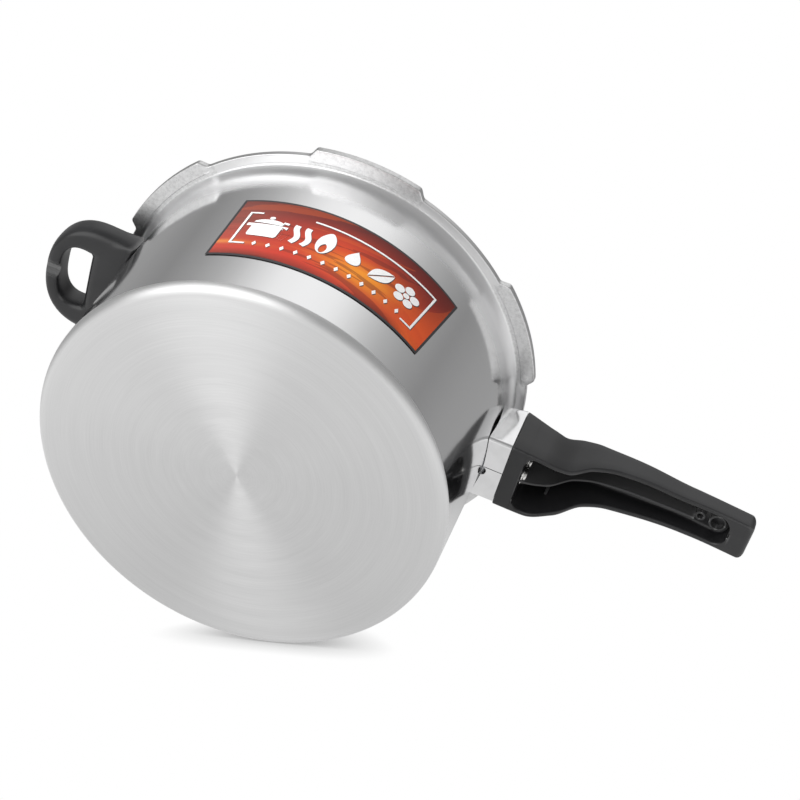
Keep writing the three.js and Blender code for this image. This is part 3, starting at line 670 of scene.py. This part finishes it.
def bent_bar(places, width):
    """A bar through several points with mitred corners, as one outline."""
    left, right = [], []
    for k, place in enumerate(places):
        before = Vector(places[max(k - 1, 0)])
        after = Vector(places[min(k + 1, len(places) - 1)])
        here = Vector(place)
        ways = [(here - before).normalized(), (after - here).normalized()]
        ways = [way for way in ways if way.length > 0]
        normals = [Vector((-way.y, way.x)) for way in ways]
        middle = sum(normals, Vector((0, 0))).normalized()
        reach = middle * (width / 2 / max(middle.dot(normals[0]), 0.3))
        left.append(tuple(here + reach))
        right.append(tuple(here - reach))
    return left + right[::-1]


def moved(loop, dx, dy):
    return [(x + dx, y + dy) for x, y in loop]


def pot_sign():
    body = [(-7.5, -8), (7.5, -8), (8.5, -6.5), (8.5, 2), (11.5, 2),
            (11.5, 4.6), (-11.5, 4.6), (-11.5, 2), (-8.5, 2), (-8.5, -6.5)]
    lid = [(8.5 * cos(a), 6 + 3.6 * sin(a)) for a in evenly(pi, 0, 14)]
    return [body, lid, arc((0, 11.4), 1.5, 0, 345, 20)]


def drop_sign():
    """A drop with its point upward."""
    radius, rise = 6.0, 13.0
    drop = []
    for a in evenly(0, 2 * pi, 40)[:-1]:
        height = -8 + radius + (rise - radius) / 2 * (1 + cos(a)) - radius * (1 - cos(a)) / 2 + 2
        drop.append((radius * sin(a) * sin(a / 2) ** 1.4, height))
    return [drop]


def leaf_sign():
    """A slanting leaf with a split along its rib."""
    side = [(9 * t, 5.2 * sin(pi * (t + 1) / 2) ** 0.9) for t in evenly(-1, 1, 18)]
    upper = side + [(8.2 * t, 0.5) for t in evenly(1, -1, 2)]
    lower = [(x, -y) for x, y in side] + [(8.2 * t, -0.5) for t in evenly(1, -1, 2)]
    c, s = cos_sin(48)
    return [[(x * c - y * s, x * s + y * c) for x, y in half] for half in (upper, lower)]


def steam_sign():
    waves = []
    for x in (-6.5, 0, 6.5):
        spine = [(x + 1.6 * sin(t * 5.2), -8 + 17 * t) for t in evenly(0, 1, 14)]
        waves.append(bent_bar(spine, 3.2))
    return waves


def flower_sign():
    """A flower of five round petals."""
    petals = [cos_sin(90 + 72 * k) for k in range(5)]
    return [arc((5.6 * c, 5.6 * s), 3.1, 0, 345, 20) for c, s in petals] + [arc((0, 0), 2.0, 0, 345, 16)]


def flame_sign():
    """A flame that leans a little, with a hollow heart."""
    outside = [(7.5 * sin(a) * sin(a / 2) ** 1.2 + 1.3 * sin(a * 2), 1.5 + 10.5 * cos(a))
               for a in evenly(0, 2 * pi, 44)[:-1]]
    heart = [(0.4 * x, 0.42 * y - 4.4) for x, y in outside]
    return [outside, heart]


def label_artwork():
    wide, tall = LABEL_WIDTH / MM, LABEL_TALL / MM
    loops = [bent_bar([(a * wide, b * tall) for a, b in bar], FRAME_WIDTH) for bar in FRAME_BARS]
    signs = [pot_sign(), steam_sign(), flame_sign(), drop_sign(), leaf_sign(), flower_sign()]
    for k, sign in enumerate(signs):
        centre = lerp(0.17, 0.81, k / (len(signs) - 1)) * wide
        for loop in sign:
            loops.append(moved([(SIGN_SCALE * x, SIGN_SCALE * y) for x, y in loop], centre, 0.50 * tall))
    for share in evenly(0.17, 0.82, 11):
        lozenge = [(-1.4, 0), (0, -2.6), (1.4, 0), (0, 2.6)]
        loops.append(moved(lozenge, share * wide, 0.235 * tall))
    shade = [moved(loop, *SHADE_SHIFT) for loop in loops]
    printed("label_shade", shade, BLACK_INK, 0.03 * MM)
    printed("label_print", loops, WHITE_INK, 0.06 * MM)


label_artwork()

# ---- Flame guard ----
GUARD_SHEET = 0.9 * MM
GUARD_CORNER = 2.4 * MM
GUARD_NOTCH = 3.4 * MM
GUARD_NOTCH_OFFSET = 2.4 * MM
GUARD_SEAM = 0.5 * MM
GUARD_TOP_RISE = 3.8 * MM


def rounded_loop(half_width, bottom, top, corner, corner_steps, side_steps):
    """(y, z) points round a rectangle with rounded corners, from the middle of the underside."""
    loop = []
    spots = [(half_width - corner, bottom + corner, -90), (half_width - corner, top - corner, 0),
             (-half_width + corner, top - corner, 90), (-half_width + corner, bottom + corner, 180)]
    for y, z, start in spots:
        loop += arc((y, z), corner, start, start + 90, corner_steps)
    filled = []
    for k, point in enumerate(loop):
        after = loop[(k + 1) % len(loop)]
        filled.append(point)
        if dist(point, after) > 2 * corner:
            filled += [(lerp(point[0], after[0], t), lerp(point[1], after[1], t))
                       for t in evenly(0, 1, side_steps)[1:-1]]
    return filled


def make_guard():
    end = guard_high.x

    def wall_edge(y, z):
        """Where the sheet ends at the wall; it gapes a little along its flat sides."""
        lift = (z - guard_low.z) / (guard_high.z - guard_low.z)
        gape = 0.3 * MM + 1.1 * MM * sin(pi * min(max(lift, 0), 1)) ** 1.5
        if z < guard_low.z + GUARD_CORNER / 2:
            gape += 0.7 * MM * exp(-((y - GUARD_NOTCH_OFFSET) / (9 * MM)) ** 2)
        return sqrt(WALL ** 2 - y ** 2) + gape

    def climbed(x, z):
        """Height of a point whose height at the grip is z; the top face falls towards the wall."""
        lift = (z - guard_low.z) / (guard_high.z - guard_low.z)
        return z - GUARD_TOP_RISE * lift * (end - x) / (end - WALL)

    outer = rounded_loop(guard_high.y, guard_low.z, guard_high.z, GUARD_CORNER, 6, 40)
    inner = rounded_loop(guard_high.y - GUARD_SHEET, guard_low.z + GUARD_SHEET, guard_high.z - GUARD_SHEET,
                         GUARD_CORNER - GUARD_SHEET, 6, 40)
    rings = []
    for (y, z), (yi, zi) in zip(outer, inner):
        start = wall_edge(y, z)
        row = [(x, y, climbed(x, z)) for x in evenly(start, end, 8)]
        row += [(x, yi, climbed(x, zi)) for x in evenly(end, start, 8)]
        rings.append(row)
    points, faces = skin(rings, closed_rings=True, closed_along=True)
    piece = mesh_object("flame_guard_sleeve", points, faces, [GUARD_METAL])
    notch_place = Vector((WALL, GUARD_NOTCH_OFFSET, guard_low.z))
    cut(piece, rod("notch_cutter", GUARD_NOTCH, notch_place, "Z", 6 * MM))
    seam_place = Vector((end, GUARD_NOTCH_OFFSET - GUARD_NOTCH, guard_low.z))
    cut(piece, slab("seam_cutter", seam_place, (40 * MM, GUARD_SEAM, 3 * MM)))
    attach(piece, "root")
    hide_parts("flame_guard")


def rod(name, radius, centre, axis, length):
    """A round bar used as a cutter."""
    turn = {"X": lambda a, b, c: (a, b, c), "Z": lambda a, b, c: (b, c, a)}[axis]
    rings = []
    for end in (-length / 2, length / 2):
        rings.append([Vector(turn(end, radius * c, radius * s)) + centre for c, s in circle()])
    points, faces = skin(rings, cap_ends=True)
    return mesh_object(name, points, faces)


def slab(name, centre, size):
    """A square-cornered block used as a cutter."""
    rings = []
    for x in (-size[0] / 2, size[0] / 2):
        rings.append([centre + Vector((x, y * size[1] / 2, z * size[2] / 2))
                      for y, z in ((-1, -1), (1, -1), (1, 1), (-1, 1))])
    points, faces = skin(rings, cap_ends=True)
    return mesh_object(name, points, faces)


make_guard()

# ---- Long handle grip ----
GRIP_START = grip_low.x
GRIP_LENGTH = grip_high.x - grip_low.x
GRIP_BOTTOM = grip_low.z
GRIP_HALF_WIDTH = grip_high.y
GRIP_ARCH = 7 * MM                # the top of the grip stands this far above its front
GRIP_TOP = grip_high.z - GRIP_ARCH
FRONT_WALL = 11 * MM
SIDE_WALL = 3.2 * MM
ROOF = 4 * MM
END_WALL = 14 * MM
CAVITY_START = GRIP_START + FRONT_WALL
CAVITY_END = GRIP_START + GRIP_LENGTH - END_WALL
CAVITY_CORNER = 6 * MM
CAVITY_TAIL_CORNER = 8.5 * MM
LIP_ROUNDING = 1.7 * MM
TOP_ROUNDING = 4.5 * MM
GRIP_FRONT_ROUNDING = 0.8 * MM
GRIP_TAIL_ROUNDING = 4 * MM
RIB_HALF = 1 * MM                 # half of either rib's thickness
RIB_END = 37.4 * MM               # from the grip's end
CROSS_RIB_PLACE = 29 * MM         # from the grip's front
CROSS_RIB_RECESS = 23 * MM
RING_RECESS = 7 * MM
RING_WALL = 1.6 * MM
RINGS = ((22 * MM, 6 * MM), (34 * MM, 3.4 * MM))  # distance from the grip's end, and radius


def scaled(pairs, base):
    return [(x * MM, base + value * MM) for x, value in pairs]


GRIP_MM = GRIP_LENGTH / MM
GRIP_SAG = 0.8 * MM               # its underside dips this far below the front's lower edge
UNDERSIDE = scaled([(0, 0), (22, -0.8), (38, 4.8), (53, 21), (69, 28), (97, 31), (124, 31.2),
                    (GRIP_MM, 28.8)], GRIP_BOTTOM + GRIP_SAG)
TOPSIDE = scaled([(0, 0), (27, -7.6), (40, 1.2), (53, 6), (78, 7), (116, 5.2), (GRIP_MM, 1.2)], GRIP_TOP)
HALF_WIDTH = scaled([(0, 0), (20, -0.6), (40, -5.4), (56, -7.4), (82, -8.4), (115, -10.4), (GRIP_MM, -10.4)],
                    GRIP_HALF_WIDTH)


def end_rounding(x):
    """How far the grip's outside draws in at its two ends."""
    from_front = x - GRIP_START
    from_end = GRIP_START + GRIP_LENGTH - x
    inset = 0.0
    if from_front < GRIP_FRONT_ROUNDING:
        r = GRIP_FRONT_ROUNDING
        inset = r - sqrt(max(r * r - (r - from_front) ** 2, 0))
    tail = GRIP_TAIL_ROUNDING
    if from_end < tail:
        inset = tail - sqrt(max(tail * tail - (tail - from_end) ** 2, 0))
    return inset


def cavity_half_width(x, half_width):
    """Half width of the hollow at x, with rounded corners in plan."""
    full = half_width - SIDE_WALL
    for near, corner in ((x - CAVITY_START, CAVITY_CORNER), (CAVITY_END - x, CAVITY_TAIL_CORNER)):
        if near < corner:
            gap = corner - max(near, 0)
            full -= corner - sqrt(corner ** 2 - gap ** 2)
    return full


def grip_section(x, depth):
    """The grip's section at x as (y, z) points; depth 0 is solid, 1 is fully hollow."""
    s = x - GRIP_START
    inset = end_rounding(x)
    half = along(HALF_WIDTH, s) - inset
    bottom = along(UNDERSIDE, s) + inset
    top = along(TOPSIDE, s) - inset
    hollow = cavity_half_width(x, half)
    roof = lerp(bottom, top - ROOF, depth)
    lip = LIP_ROUNDING * min(depth * 4, 1)
    outer_lip = LIP_ROUNDING
    fillet = 2.5 * MM * depth
    side = [(0, roof), (hollow * 0.5, roof)]
    side += arc((hollow - fillet, roof - fillet), fillet, 90, 0, 4)
    side += [(hollow, lerp(roof - fillet, bottom + lip, t)) for t in (0.35, 0.7)]
    side += arc((hollow + lip, bottom + lip), lip, 180, 270, 5)
    side += [((hollow + half) / 2, bottom)]
    side += arc((half - outer_lip, bottom + outer_lip), outer_lip, -90, 0, 5)
    side += [(half, lerp(bottom, top, t)) for t in (0.3, 0.5, 0.7)]
    side += arc((half - TOP_ROUNDING, top - TOP_ROUNDING), TOP_ROUNDING, 0, 90, 8)
    side += [(half * 0.4, top), (0, top)]
    mirror = [(-y, z) for y, z in reversed(side[1:-1])]
    return side + mirror


def make_grip():
    end = GRIP_START + GRIP_LENGTH
    edge = 0.7 * MM
    stations = [(x, 0) for x in arc_steps(GRIP_START, GRIP_FRONT_ROUNDING, 4)]
    stations += [(x, 0) for x in evenly(GRIP_START + 1.5 * MM, CAVITY_START - 1 * MM, 5)]
    stations += [(CAVITY_START - 0.5 * MM, 0)]
    stations += [(CAVITY_START + edge * (1 - cos(a)) - edge, 0.12 * sin(a))
                 for a in evenly(0.4, 1.5, 3)]
    stations += [(CAVITY_START + 0.1 * MM, 0.5), (CAVITY_START + 0.2 * MM, 1)]
    stations += [(CAVITY_START + CAVITY_CORNER * (1 - cos(a)) + 0.25 * MM, 1)
                 for a in evenly(0.3, 1.5, 8)]
    stations += [(x, 1) for x in evenly(CAVITY_START + 8 * MM, CAVITY_END - 10 * MM, 90)]
    stations += [(CAVITY_END - CAVITY_TAIL_CORNER * (1 - cos(a)) - 0.25 * MM, 1)
                 for a in evenly(1.5, 0.3, 10)]
    stations += [(CAVITY_END - 0.2 * MM, 1), (CAVITY_END - 0.1 * MM, 0.5)]
    stations += [(CAVITY_END - edge * (1 - cos(a)) + edge, 0.12 * sin(a))
                 for a in evenly(1.5, 0.4, 3)]
    stations += [(x, 0) for x in evenly(CAVITY_END + 1 * MM, end - 4.5 * MM, 6)]
    stations += [(end - (x - GRIP_START), 0) for x in reversed(arc_steps(GRIP_START, GRIP_TAIL_ROUNDING, 8))]
    rings = [[(x, y, z) for y, z in grip_section(x, depth)] for x, depth in stations]
    shell = skin(rings, cap_ends=True)
    bosses = [moulded_ring(from_end, radius) for from_end, radius in RINGS]
    points, faces = joined([shell, middle_rib(), cross_rib()] + bosses)
    piece = mesh_object("long_handle", points, faces, [BLACK_PLASTIC])
    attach(piece, "root")
    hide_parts("long_handle_grip")


def arc_steps(start, radius, steps):
    """Distances that follow a quarter circle, closest together at the start."""
    return [start + radius * (1 - cos(a)) for a in evenly(0, pi / 2, steps)]


def middle_rib():
    """The upright rib along the middle of the hollow, with a rounded lower edge."""
    half = RIB_HALF
    end = GRIP_START + GRIP_LENGTH - RIB_END
    rings = []
    for x in evenly(CAVITY_START - 1 * MM, end, 80):
        s = x - GRIP_START
        bottom = along(UNDERSIDE, s + 10 * MM) + 2.5 * MM
        top = along(TOPSIDE, s) - ROOF / 2
        section = [(half, top)]
        section += arc((0, bottom + half), half, 0, -180, 8)
        section += [(-half, top)]
        rings.append([(x, y, z) for y, z in section])
    return skin(rings, cap_ends=True)


def cross_rib():
    """A rib across the hollow, set deeper than the middle one."""
    s = CROSS_RIB_PLACE
    x = GRIP_START + s
    half = RIB_HALF
    bottom = GRIP_BOTTOM + CROSS_RIB_RECESS
    top = along(TOPSIDE, s) - ROOF / 2
    wide = along(HALF_WIDTH, s) - SIDE_WALL / 2
    rings = []
    for y in evenly(-wide, wide, 12):
        section = [(x + half, top)]
        section += [(x + dx, z) for dx, z in arc((0, bottom + half), half, 0, -180, 8)]
        section += [(x - half, top)]
        rings.append([(px, y, z) for px, z in section])
    return skin(rings, cap_ends=True)


def moulded_ring(from_end, radius):
    """A round boss that hangs from the hollow's roof, open underneath."""
    x = GRIP_START + GRIP_LENGTH - from_end
    s = x - GRIP_START
    bottom = along(UNDERSIDE, s) + RING_RECESS
    top = along(TOPSIDE, s) - ROOF / 2
    inner = radius - RING_WALL
    rounding = 0.5 * MM
    rings = []
    for cosine, sine in circle(40):
        section = [(inner, top)]
        section += arc((inner + rounding, bottom + rounding), rounding, 180, 270, 3)
        section += arc((radius - rounding, bottom + rounding), rounding, -90, 0, 3)
        section += [(radius, top)]
        rings.append([(x + r * cosine, r * sine, z) for r, z in section])
    return skin(rings, closed_rings=True, closed_along=True)


make_grip()

# ---- Helper handle ----
HELPER_REACH = -helper_low.x - WALL
HELPER_HALF_WIDTH = helper_high.y
HELPER_BOW_START = 18 * MM
GRIP_TO_WALL = 0.8 * MM
WINDOW_START = 24 * MM
WINDOW_DEPTH = 18.5 * MM
WINDOW_HALF_WIDTH = 24 * MM
WINDOW_TAPER = 0.15
GROOVE_RADIUS = 6 * MM
GROOVE_DEPTH = 4 * MM
GROOVE_PLACE = 48 * MM            # from the wall
HEAD_HOLE_RADIUS = 6.5 * MM
HELPER_MIDDLE = (helper_low.z + helper_high.z) / 2
HELPER_SCREW_SEAT = WALL + WINDOW_START - 4.2 * MM


def bowed(start, depth, half_width, roundness, steps, taper=0.0):
    """Half of a rounded outline that bulges away from the pot, as (distance from axis, sideways)."""
    points = []
    power = 2 / roundness
    for degrees in evenly(-90, 90, steps):
        c, s = cos_sin(degrees)
        bow = abs(c) ** power
        spread = half_width * (1 - taper * (1 - bow))
        points.append((start + depth * bow, copysign(spread * abs(s) ** power, s)))
    return points


def helper_outlines():
    """Matching points on the handle's outer outline and on its finger opening."""
    steps = 48
    bow = WALL + HELPER_BOW_START
    window = WALL + WINDOW_START
    outer = bowed(bow, HELPER_REACH - HELPER_BOW_START, HELPER_HALF_WIDTH, 2.3, steps)
    inner = bowed(window, WINDOW_DEPTH, WINDOW_HALF_WIDTH, 2.8, steps, WINDOW_TAPER)
    near_half = WINDOW_HALF_WIDTH * (1 - WINDOW_TAPER)
    wall = WALL + GRIP_TO_WALL
    corner = asin((HELPER_HALF_WIDTH - GRIP_TO_WALL) / wall)
    foot = (wall * cos(corner), wall * sin(corner))

    def flank(sign, shares):
        for t in shares:
            outer.append((lerp(bow, foot[0], t), sign * lerp(HELPER_HALF_WIDTH, foot[1], t)))
            inner.append((window, sign * near_half * (1 - 0.12 * t)))

    shares = evenly(0, 1, 8)[1:-1]
    flank(1, shares)
    across = 24
    for k in range(across + 1):
        angle = lerp(corner, -corner, k / across)
        outer.append((wall * cos(angle), wall * sin(angle)))
        inner.append((window, lerp(0.88, -0.88, k / across) * near_half))
    flank(-1, shares[::-1])
    return outer, inner


def helper_section(span, low, high, fullness):
    """The bar's softly crowned section, from the finger opening (0) to its outer side (span)."""
    points = []
    middle, half = (low + high) / 2, (high - low) / 2
    for degrees in evenly(-180, 180, 48)[:-1]:
        c, s = cos_sin(degrees)
        power = 2 / (fullness if c > 0 else 5)
        points.append((span / 2 + copysign(span / 2 * abs(c) ** power, c),
                       middle + copysign(half * abs(s) ** (2 / 2.6), s)))
    return points


def make_helper():
    outer, inner = helper_outlines()
    low, high = helper_low.z, helper_high.z
    rings = []
    for (xo, yo), (xi, yi) in zip(outer, inner):
        span = dist((xo, yo), (xi, yi))
        by_wall = smooth((WALL + 12 * MM - hypot(xo, yo)) / (10 * MM))
        section = helper_section(span, low, high, lerp(3.2, 7, by_wall))
        # The finished handle lies on the pot's far side, so both plan directions change sign.
        rings.append([(-lerp(xi, xo, d / span), -lerp(yi, yo, d / span), z) for d, z in section])
    points, faces = skin(rings, closed_rings=True, closed_along=True)
    piece = mesh_object("helper_handle", points, faces, [BLACK_PLASTIC])
    groove_place = Vector((-(WALL + GROOVE_PLACE), 0, low - GROOVE_RADIUS + GROOVE_DEPTH))
    cut(piece, rod("groove_cutter", GROOVE_RADIUS, groove_place, "X", 20 * MM))
    head_place = Vector((-(HELPER_SCREW_SEAT + 4 * MM), 0, HELPER_MIDDLE))
    cut(piece, rod("head_hole_cutter", HEAD_HOLE_RADIUS, head_place, "X", 8 * MM))
    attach(piece, "root")
    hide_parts("helper_handle_grip")


make_helper()


# ---- Fasteners ----
def make_screw(name, out_of_head):
    """A slotted round-head screw; out_of_head is +1 where its head points along +X."""
    low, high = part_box(name)
    middle = (low + high) / 2
    head_radius = (high.z - low.z) / 2
    face = high.x if out_of_head > 0 else -low.x
    length = high.x - low.x
    head = 2.6 * MM
    shank = 2.5 * MM
    profile = [(face - length, 0), (face - length, shank * 0.8), (face - length + 0.8 * MM, shank),
               (face - head, shank), (face - head, head_radius - 0.2 * MM),
               (face - head + 0.2 * MM, head_radius)]
    rise = head * 0.62
    profile += [(face - rise + rise * sin(a), head_radius * cos(a))
                for a in evenly(0, pi / 2, 12)]
    profile = [(out_of_head * x, r) for x, r in profile]
    points, faces = lathe(profile, Vector((0, middle.y, middle.z)))
    piece = mesh_object(name + "_detailed", points, faces, [SCREW_METAL])
    slot_centre = Vector((out_of_head * face, middle.y, middle.z))
    cut(piece, slab("slot_cutter", slot_centre, (2.2 * MM, 12 * MM, 1.2 * MM)))
    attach(piece, "root")
    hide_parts(name)


def make_washer(name):
    low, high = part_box(name)
    middle = (low + high) / 2
    outer = (high.z - low.z) / 2
    hole = 2.8 * MM
    half = (high.x - low.x) / 2
    r = 0.2 * MM
    profile = [(-half + dx, rr) for dx, rr in ((r, hole), (0, hole + r), (0, outer - r), (r, outer))]
    profile += [(half - dx, rr) for dx, rr in ((r, outer), (0, outer - r), (0, hole + r), (r, hole))]
    profile.append(profile[0])
    points, faces = lathe(profile, middle)
    piece = mesh_object(name + "_detailed", points, faces, [SCREW_METAL])
    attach(piece, "root")
    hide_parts(name)


def make_rivet(name):
    """A rivet across the wall with a low domed head inside the pot."""
    low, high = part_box(name)
    middle = (low + high) / 2
    outward = Vector((middle.x, middle.y, 0)).normalized()
    side = Vector((-outward.y, outward.x, 0))
    head, shank, tail = 5 * MM, 2.4 * MM, 4 * MM
    plate = WALL + 2.6 * MM
    reach = plate + 1.4 * MM
    seat = INNER_WALL - 0.4 * MM
    profile = [(seat - 1.7 * MM * cos(a), head * sin(a)) for a in evenly(0, pi / 2, 12)]
    profile += [(seat, shank), (plate, shank)]
    profile += [(plate + (reach - WALL - 2.6 * MM) * sin(a), tail * cos(a))
                for a in evenly(0, pi / 2, 8)]
    rings = []
    for c, s in circle():
        rings.append([outward * x + side * (r * c) + Vector((0, 0, middle.z + r * s)) for x, r in profile])
    points, faces = skin(rings, closed_rings=False, closed_along=True)
    piece = mesh_object(name + "_detailed", points, faces, [RIVET_METAL])
    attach(piece, "root")
    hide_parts(name)


for number in (1, 2):
    make_screw(f"handle_screw_{number}", 1)
    make_washer(f"handle_washer_{number}")
    make_rivet(f"helper_rivet_{number}")
for number in (1, 2, 3):
    make_rivet(f"handle_rivet_{number}")
make_screw("helper_screw", -1)
make_washer("helper_washer")

for name in ("handle_bracket", "helper_bracket", "handle_nut_1", "handle_nut_2", "helper_nut"):
    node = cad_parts[name]
    node.data.materials.clear()
    node.data.materials.append(PLATED_METAL)
    edge = node.modifiers.new("edge", "BEVEL")
    edge.width = 0.25 * MM
    edge.segments = 2
    edge.limit_method = "ANGLE"
    edge.angle_limit = radians(40)


# ---- Camera: the pot is tipped onto its base edge, handle to the right ----
UP = Vector((-0.3535, -0.8485, 0.3943)).normalized()
CAMERA_PLACE = Vector((0.1859, -0.8046, -0.9116))
CAMERA_TARGET = Vector((0.0734, -0.0611, 0.0492))
VIEW_ANGLE = 22


def aim(thing, place, target, up):
    back = (place - target).normalized()
    right = up.cross(back).normalized()
    over = back.cross(right)
    turn = Matrix((right, over, back)).transposed()
    thing.matrix_world = Matrix.Translation(place) @ turn.to_4x4()


camera = linked("camera", bpy.data.cameras.new("camera"))
bpy.context.scene.camera = camera
camera.data.angle = radians(VIEW_ANGLE)
aim(camera, CAMERA_PLACE, CAMERA_TARGET, UP)

DEPTH = (CAMERA_TARGET - CAMERA_PLACE).normalized()
DEPTH = (DEPTH - UP * DEPTH.dot(UP)).normalized()
RIGHT = DEPTH.cross(UP)


def toward(elevation, azimuth):
    """A direction in the room: azimuth 0 is away from the camera, positive to the right."""
    e, a = radians(elevation), radians(azimuth)
    return UP * sin(e) + (DEPTH * cos(a) + RIGHT * sin(a)) * cos(e)


# ---- Room: white for the camera, a soft studio gradient for everything else ----
SOFTBOX = toward(56, 33)
# Degrees away from the softbox, and the room's brightness there.
ROOM_TONES = [(0, 1.0), (10, 0.93), (16, 0.78), (22, 0.60), (28, 0.46), (36, 0.35), (46, 0.265), (57, 0.32),
              (70, 0.35), (180, 0.36)]
HORIZON_TONE = grey(0.95)
FRONT_PANEL = Vector((-0.58, -0.50, -0.64)).normalized()
PANEL_TONE = grey(2.2)
HORIZON_FADE = (-0.2, -0.05)      # sines of the elevations between which the horizon's glow ends
RIM_SIDE_FADE = (0.1, 0.45)       # how far a direction leans to the rim's side as that glow ends
PANEL_EDGE = (0.80, 0.93)         # cosines at the panel's outer edge and at its full tone


def make_world():
    world = bpy.data.worlds.new("studio")
    bpy.context.scene.world = world
    world.use_nodes = True
    tree = world.node_tree
    direction = add(tree, "ShaderNodeTexCoord").outputs["Generated"]
    unit = add(tree, "ShaderNodeVectorMath", {0: direction}, operation="NORMALIZE").outputs[0]
    away = maths(tree, "DIVIDE", maths(tree, "ARCCOSINE", facing(tree, unit, SOFTBOX)), pi)
    tones = ramp(tree, away, [(angle / 180, grey(tone)) for angle, tone in ROOM_TONES])
    horizon = ranged(tree, facing(tree, unit, UP), *HORIZON_FADE, 1.0, 0.0, soft=True)
    # The room is dark on the side that the open rim faces.
    lit_side = ranged(tree, axes(tree, unit)[2], *RIM_SIDE_FADE, 1.0, 0.0)
    tones = mixed(tree, times(tree, horizon, lit_side), tones, (*HORIZON_TONE, 1))
    panel = ranged(tree, facing(tree, unit, FRONT_PANEL), *PANEL_EDGE, 0.0, 1.0, soft=True)
    tones = mixed(tree, panel, tones, (*PANEL_TONE, 1))
    seen = add(tree, "ShaderNodeLightPath").outputs["Is Camera Ray"]
    give(tree, tree.nodes["Background"], {"Color": mixed(tree, seen, tones, (1, 1, 1, 1))})


def make_light(name, elevation, azimuth, distance, size, power):
    """A soft light in the room that reflections don't show."""
    data = bpy.data.lights.new(name, "AREA")
    data.shape = "DISK"
    data.size = size
    data.energy = power
    light = linked(name, data)
    aim(light, toward(elevation, azimuth) * distance, Vector((0, 0, 0.05)), DEPTH)
    light.visible_camera = False
    light.visible_glossy = False


make_world()
make_light("key", 62, -60, 1.6, 1.2, 22)
make_light("fill", 35, 150, 1.8, 1.4, 8)


# ---- Floor: pale, touching the pot's base edge, and open from behind ----
FLOOR_CLEAR = 0.45                # full strength out to here from the contact point
FLOOR_FADE = 0.9
FLOOR_SHADE_TONES = (0.66, 0.95)        # painted shade: darker beside the pot than far away, as reflections see them
SHADOW_REACH = 28 * MM
SHADOW_TONES = [(0.0, grey(0.30)), (0.45, grey(0.80)), (0.8, grey(1.0))]
FLOOR_NEAR = 0.05
FLOOR_RIM_SIDE = (0.12, 0.40)     # painted shade: the floor's reflected tone falls between these heights up the pot's axis
FLOOR_RIM_SHADE = 0.42


def floor_contact():
    """The lowest point of the tipped pot, on the base's rounded edge."""
    flat = WALL - BASE_EDGE_RADIUS
    side = Vector((-UP.x, -UP.y, 0)).normalized()
    return side * flat + Vector((0, 0, BASE_EDGE_RADIUS)) - UP * BASE_EDGE_RADIUS


def make_floor():
    """White paper drawn as emission: the camera sees a painted contact shadow beside the contact; reflections
    see painted shade near the pot and towards the rim's side.
    """
    material, tree, _ = new_material("white_paper")
    contact = floor_contact()
    distance = add(tree, "ShaderNodeVectorMath", {0: object_place(tree)}, operation="LENGTH").outputs["Value"]
    # Painted shade for reflections: the paper's glow is dimmer near the contact point and towards the rim's
    # side, standing in for the pot's shadow on it.
    tone = ranged(tree, distance, FLOOR_NEAR, FLOOR_CLEAR, *FLOOR_SHADE_TONES)
    rimward = axes(tree, add(tree, "ShaderNodeNewGeometry").outputs["Position"])[2]
    shaded = ranged(tree, rimward, *FLOOR_RIM_SIDE, 1.0, FLOOR_RIM_SHADE)
    reflected = add(tree, "ShaderNodeEmission", {"Strength": times(tree, tone, shaded)}).outputs[0]
    # Painted contact shadow for the camera: the paper's colour darkens with ambient occlusion beside the pot.
    contact_shadow = add(tree, "ShaderNodeAmbientOcclusion", {"Distance": SHADOW_REACH}, samples=16).outputs["AO"]
    seen = add(tree, "ShaderNodeEmission", {"Color": ramp(tree, contact_shadow, SHADOW_TONES)}).outputs[0]
    camera_ray = add(tree, "ShaderNodeLightPath").outputs["Is Camera Ray"]
    paper = add(tree, "ShaderNodeMixShader", {0: camera_ray, 1: reflected, 2: seen}).outputs[0]
    fade = ranged(tree, distance, FLOOR_CLEAR, FLOOR_FADE, 0.0, 1.0, soft=True)
    behind = add(tree, "ShaderNodeNewGeometry").outputs["Backfacing"]
    open_share = maths(tree, "MAXIMUM", fade, behind)
    clear = add(tree, "ShaderNodeBsdfTransparent").outputs[0]
    mix = add(tree, "ShaderNodeMixShader", {0: open_share, 1: paper, 2: clear}).outputs[0]
    give(tree, tree.nodes["Material Output"], {"Surface": mix})
    half = FLOOR_FADE
    corners = [(-half, -half, 0), (half, -half, 0), (half, half, 0), (-half, half, 0)]
    mesh = bpy.data.meshes.new("floor")
    mesh.from_pydata(corners, [], [(0, 1, 2, 3)])
    mesh.materials.append(material)
    floor = linked("floor", mesh)
    aim(floor, contact, contact - UP, DEPTH)


make_floor()

bpy.context.scene.view_settings.view_transform = "Standard"
bpy.context.scene.view_settings.look = "None"
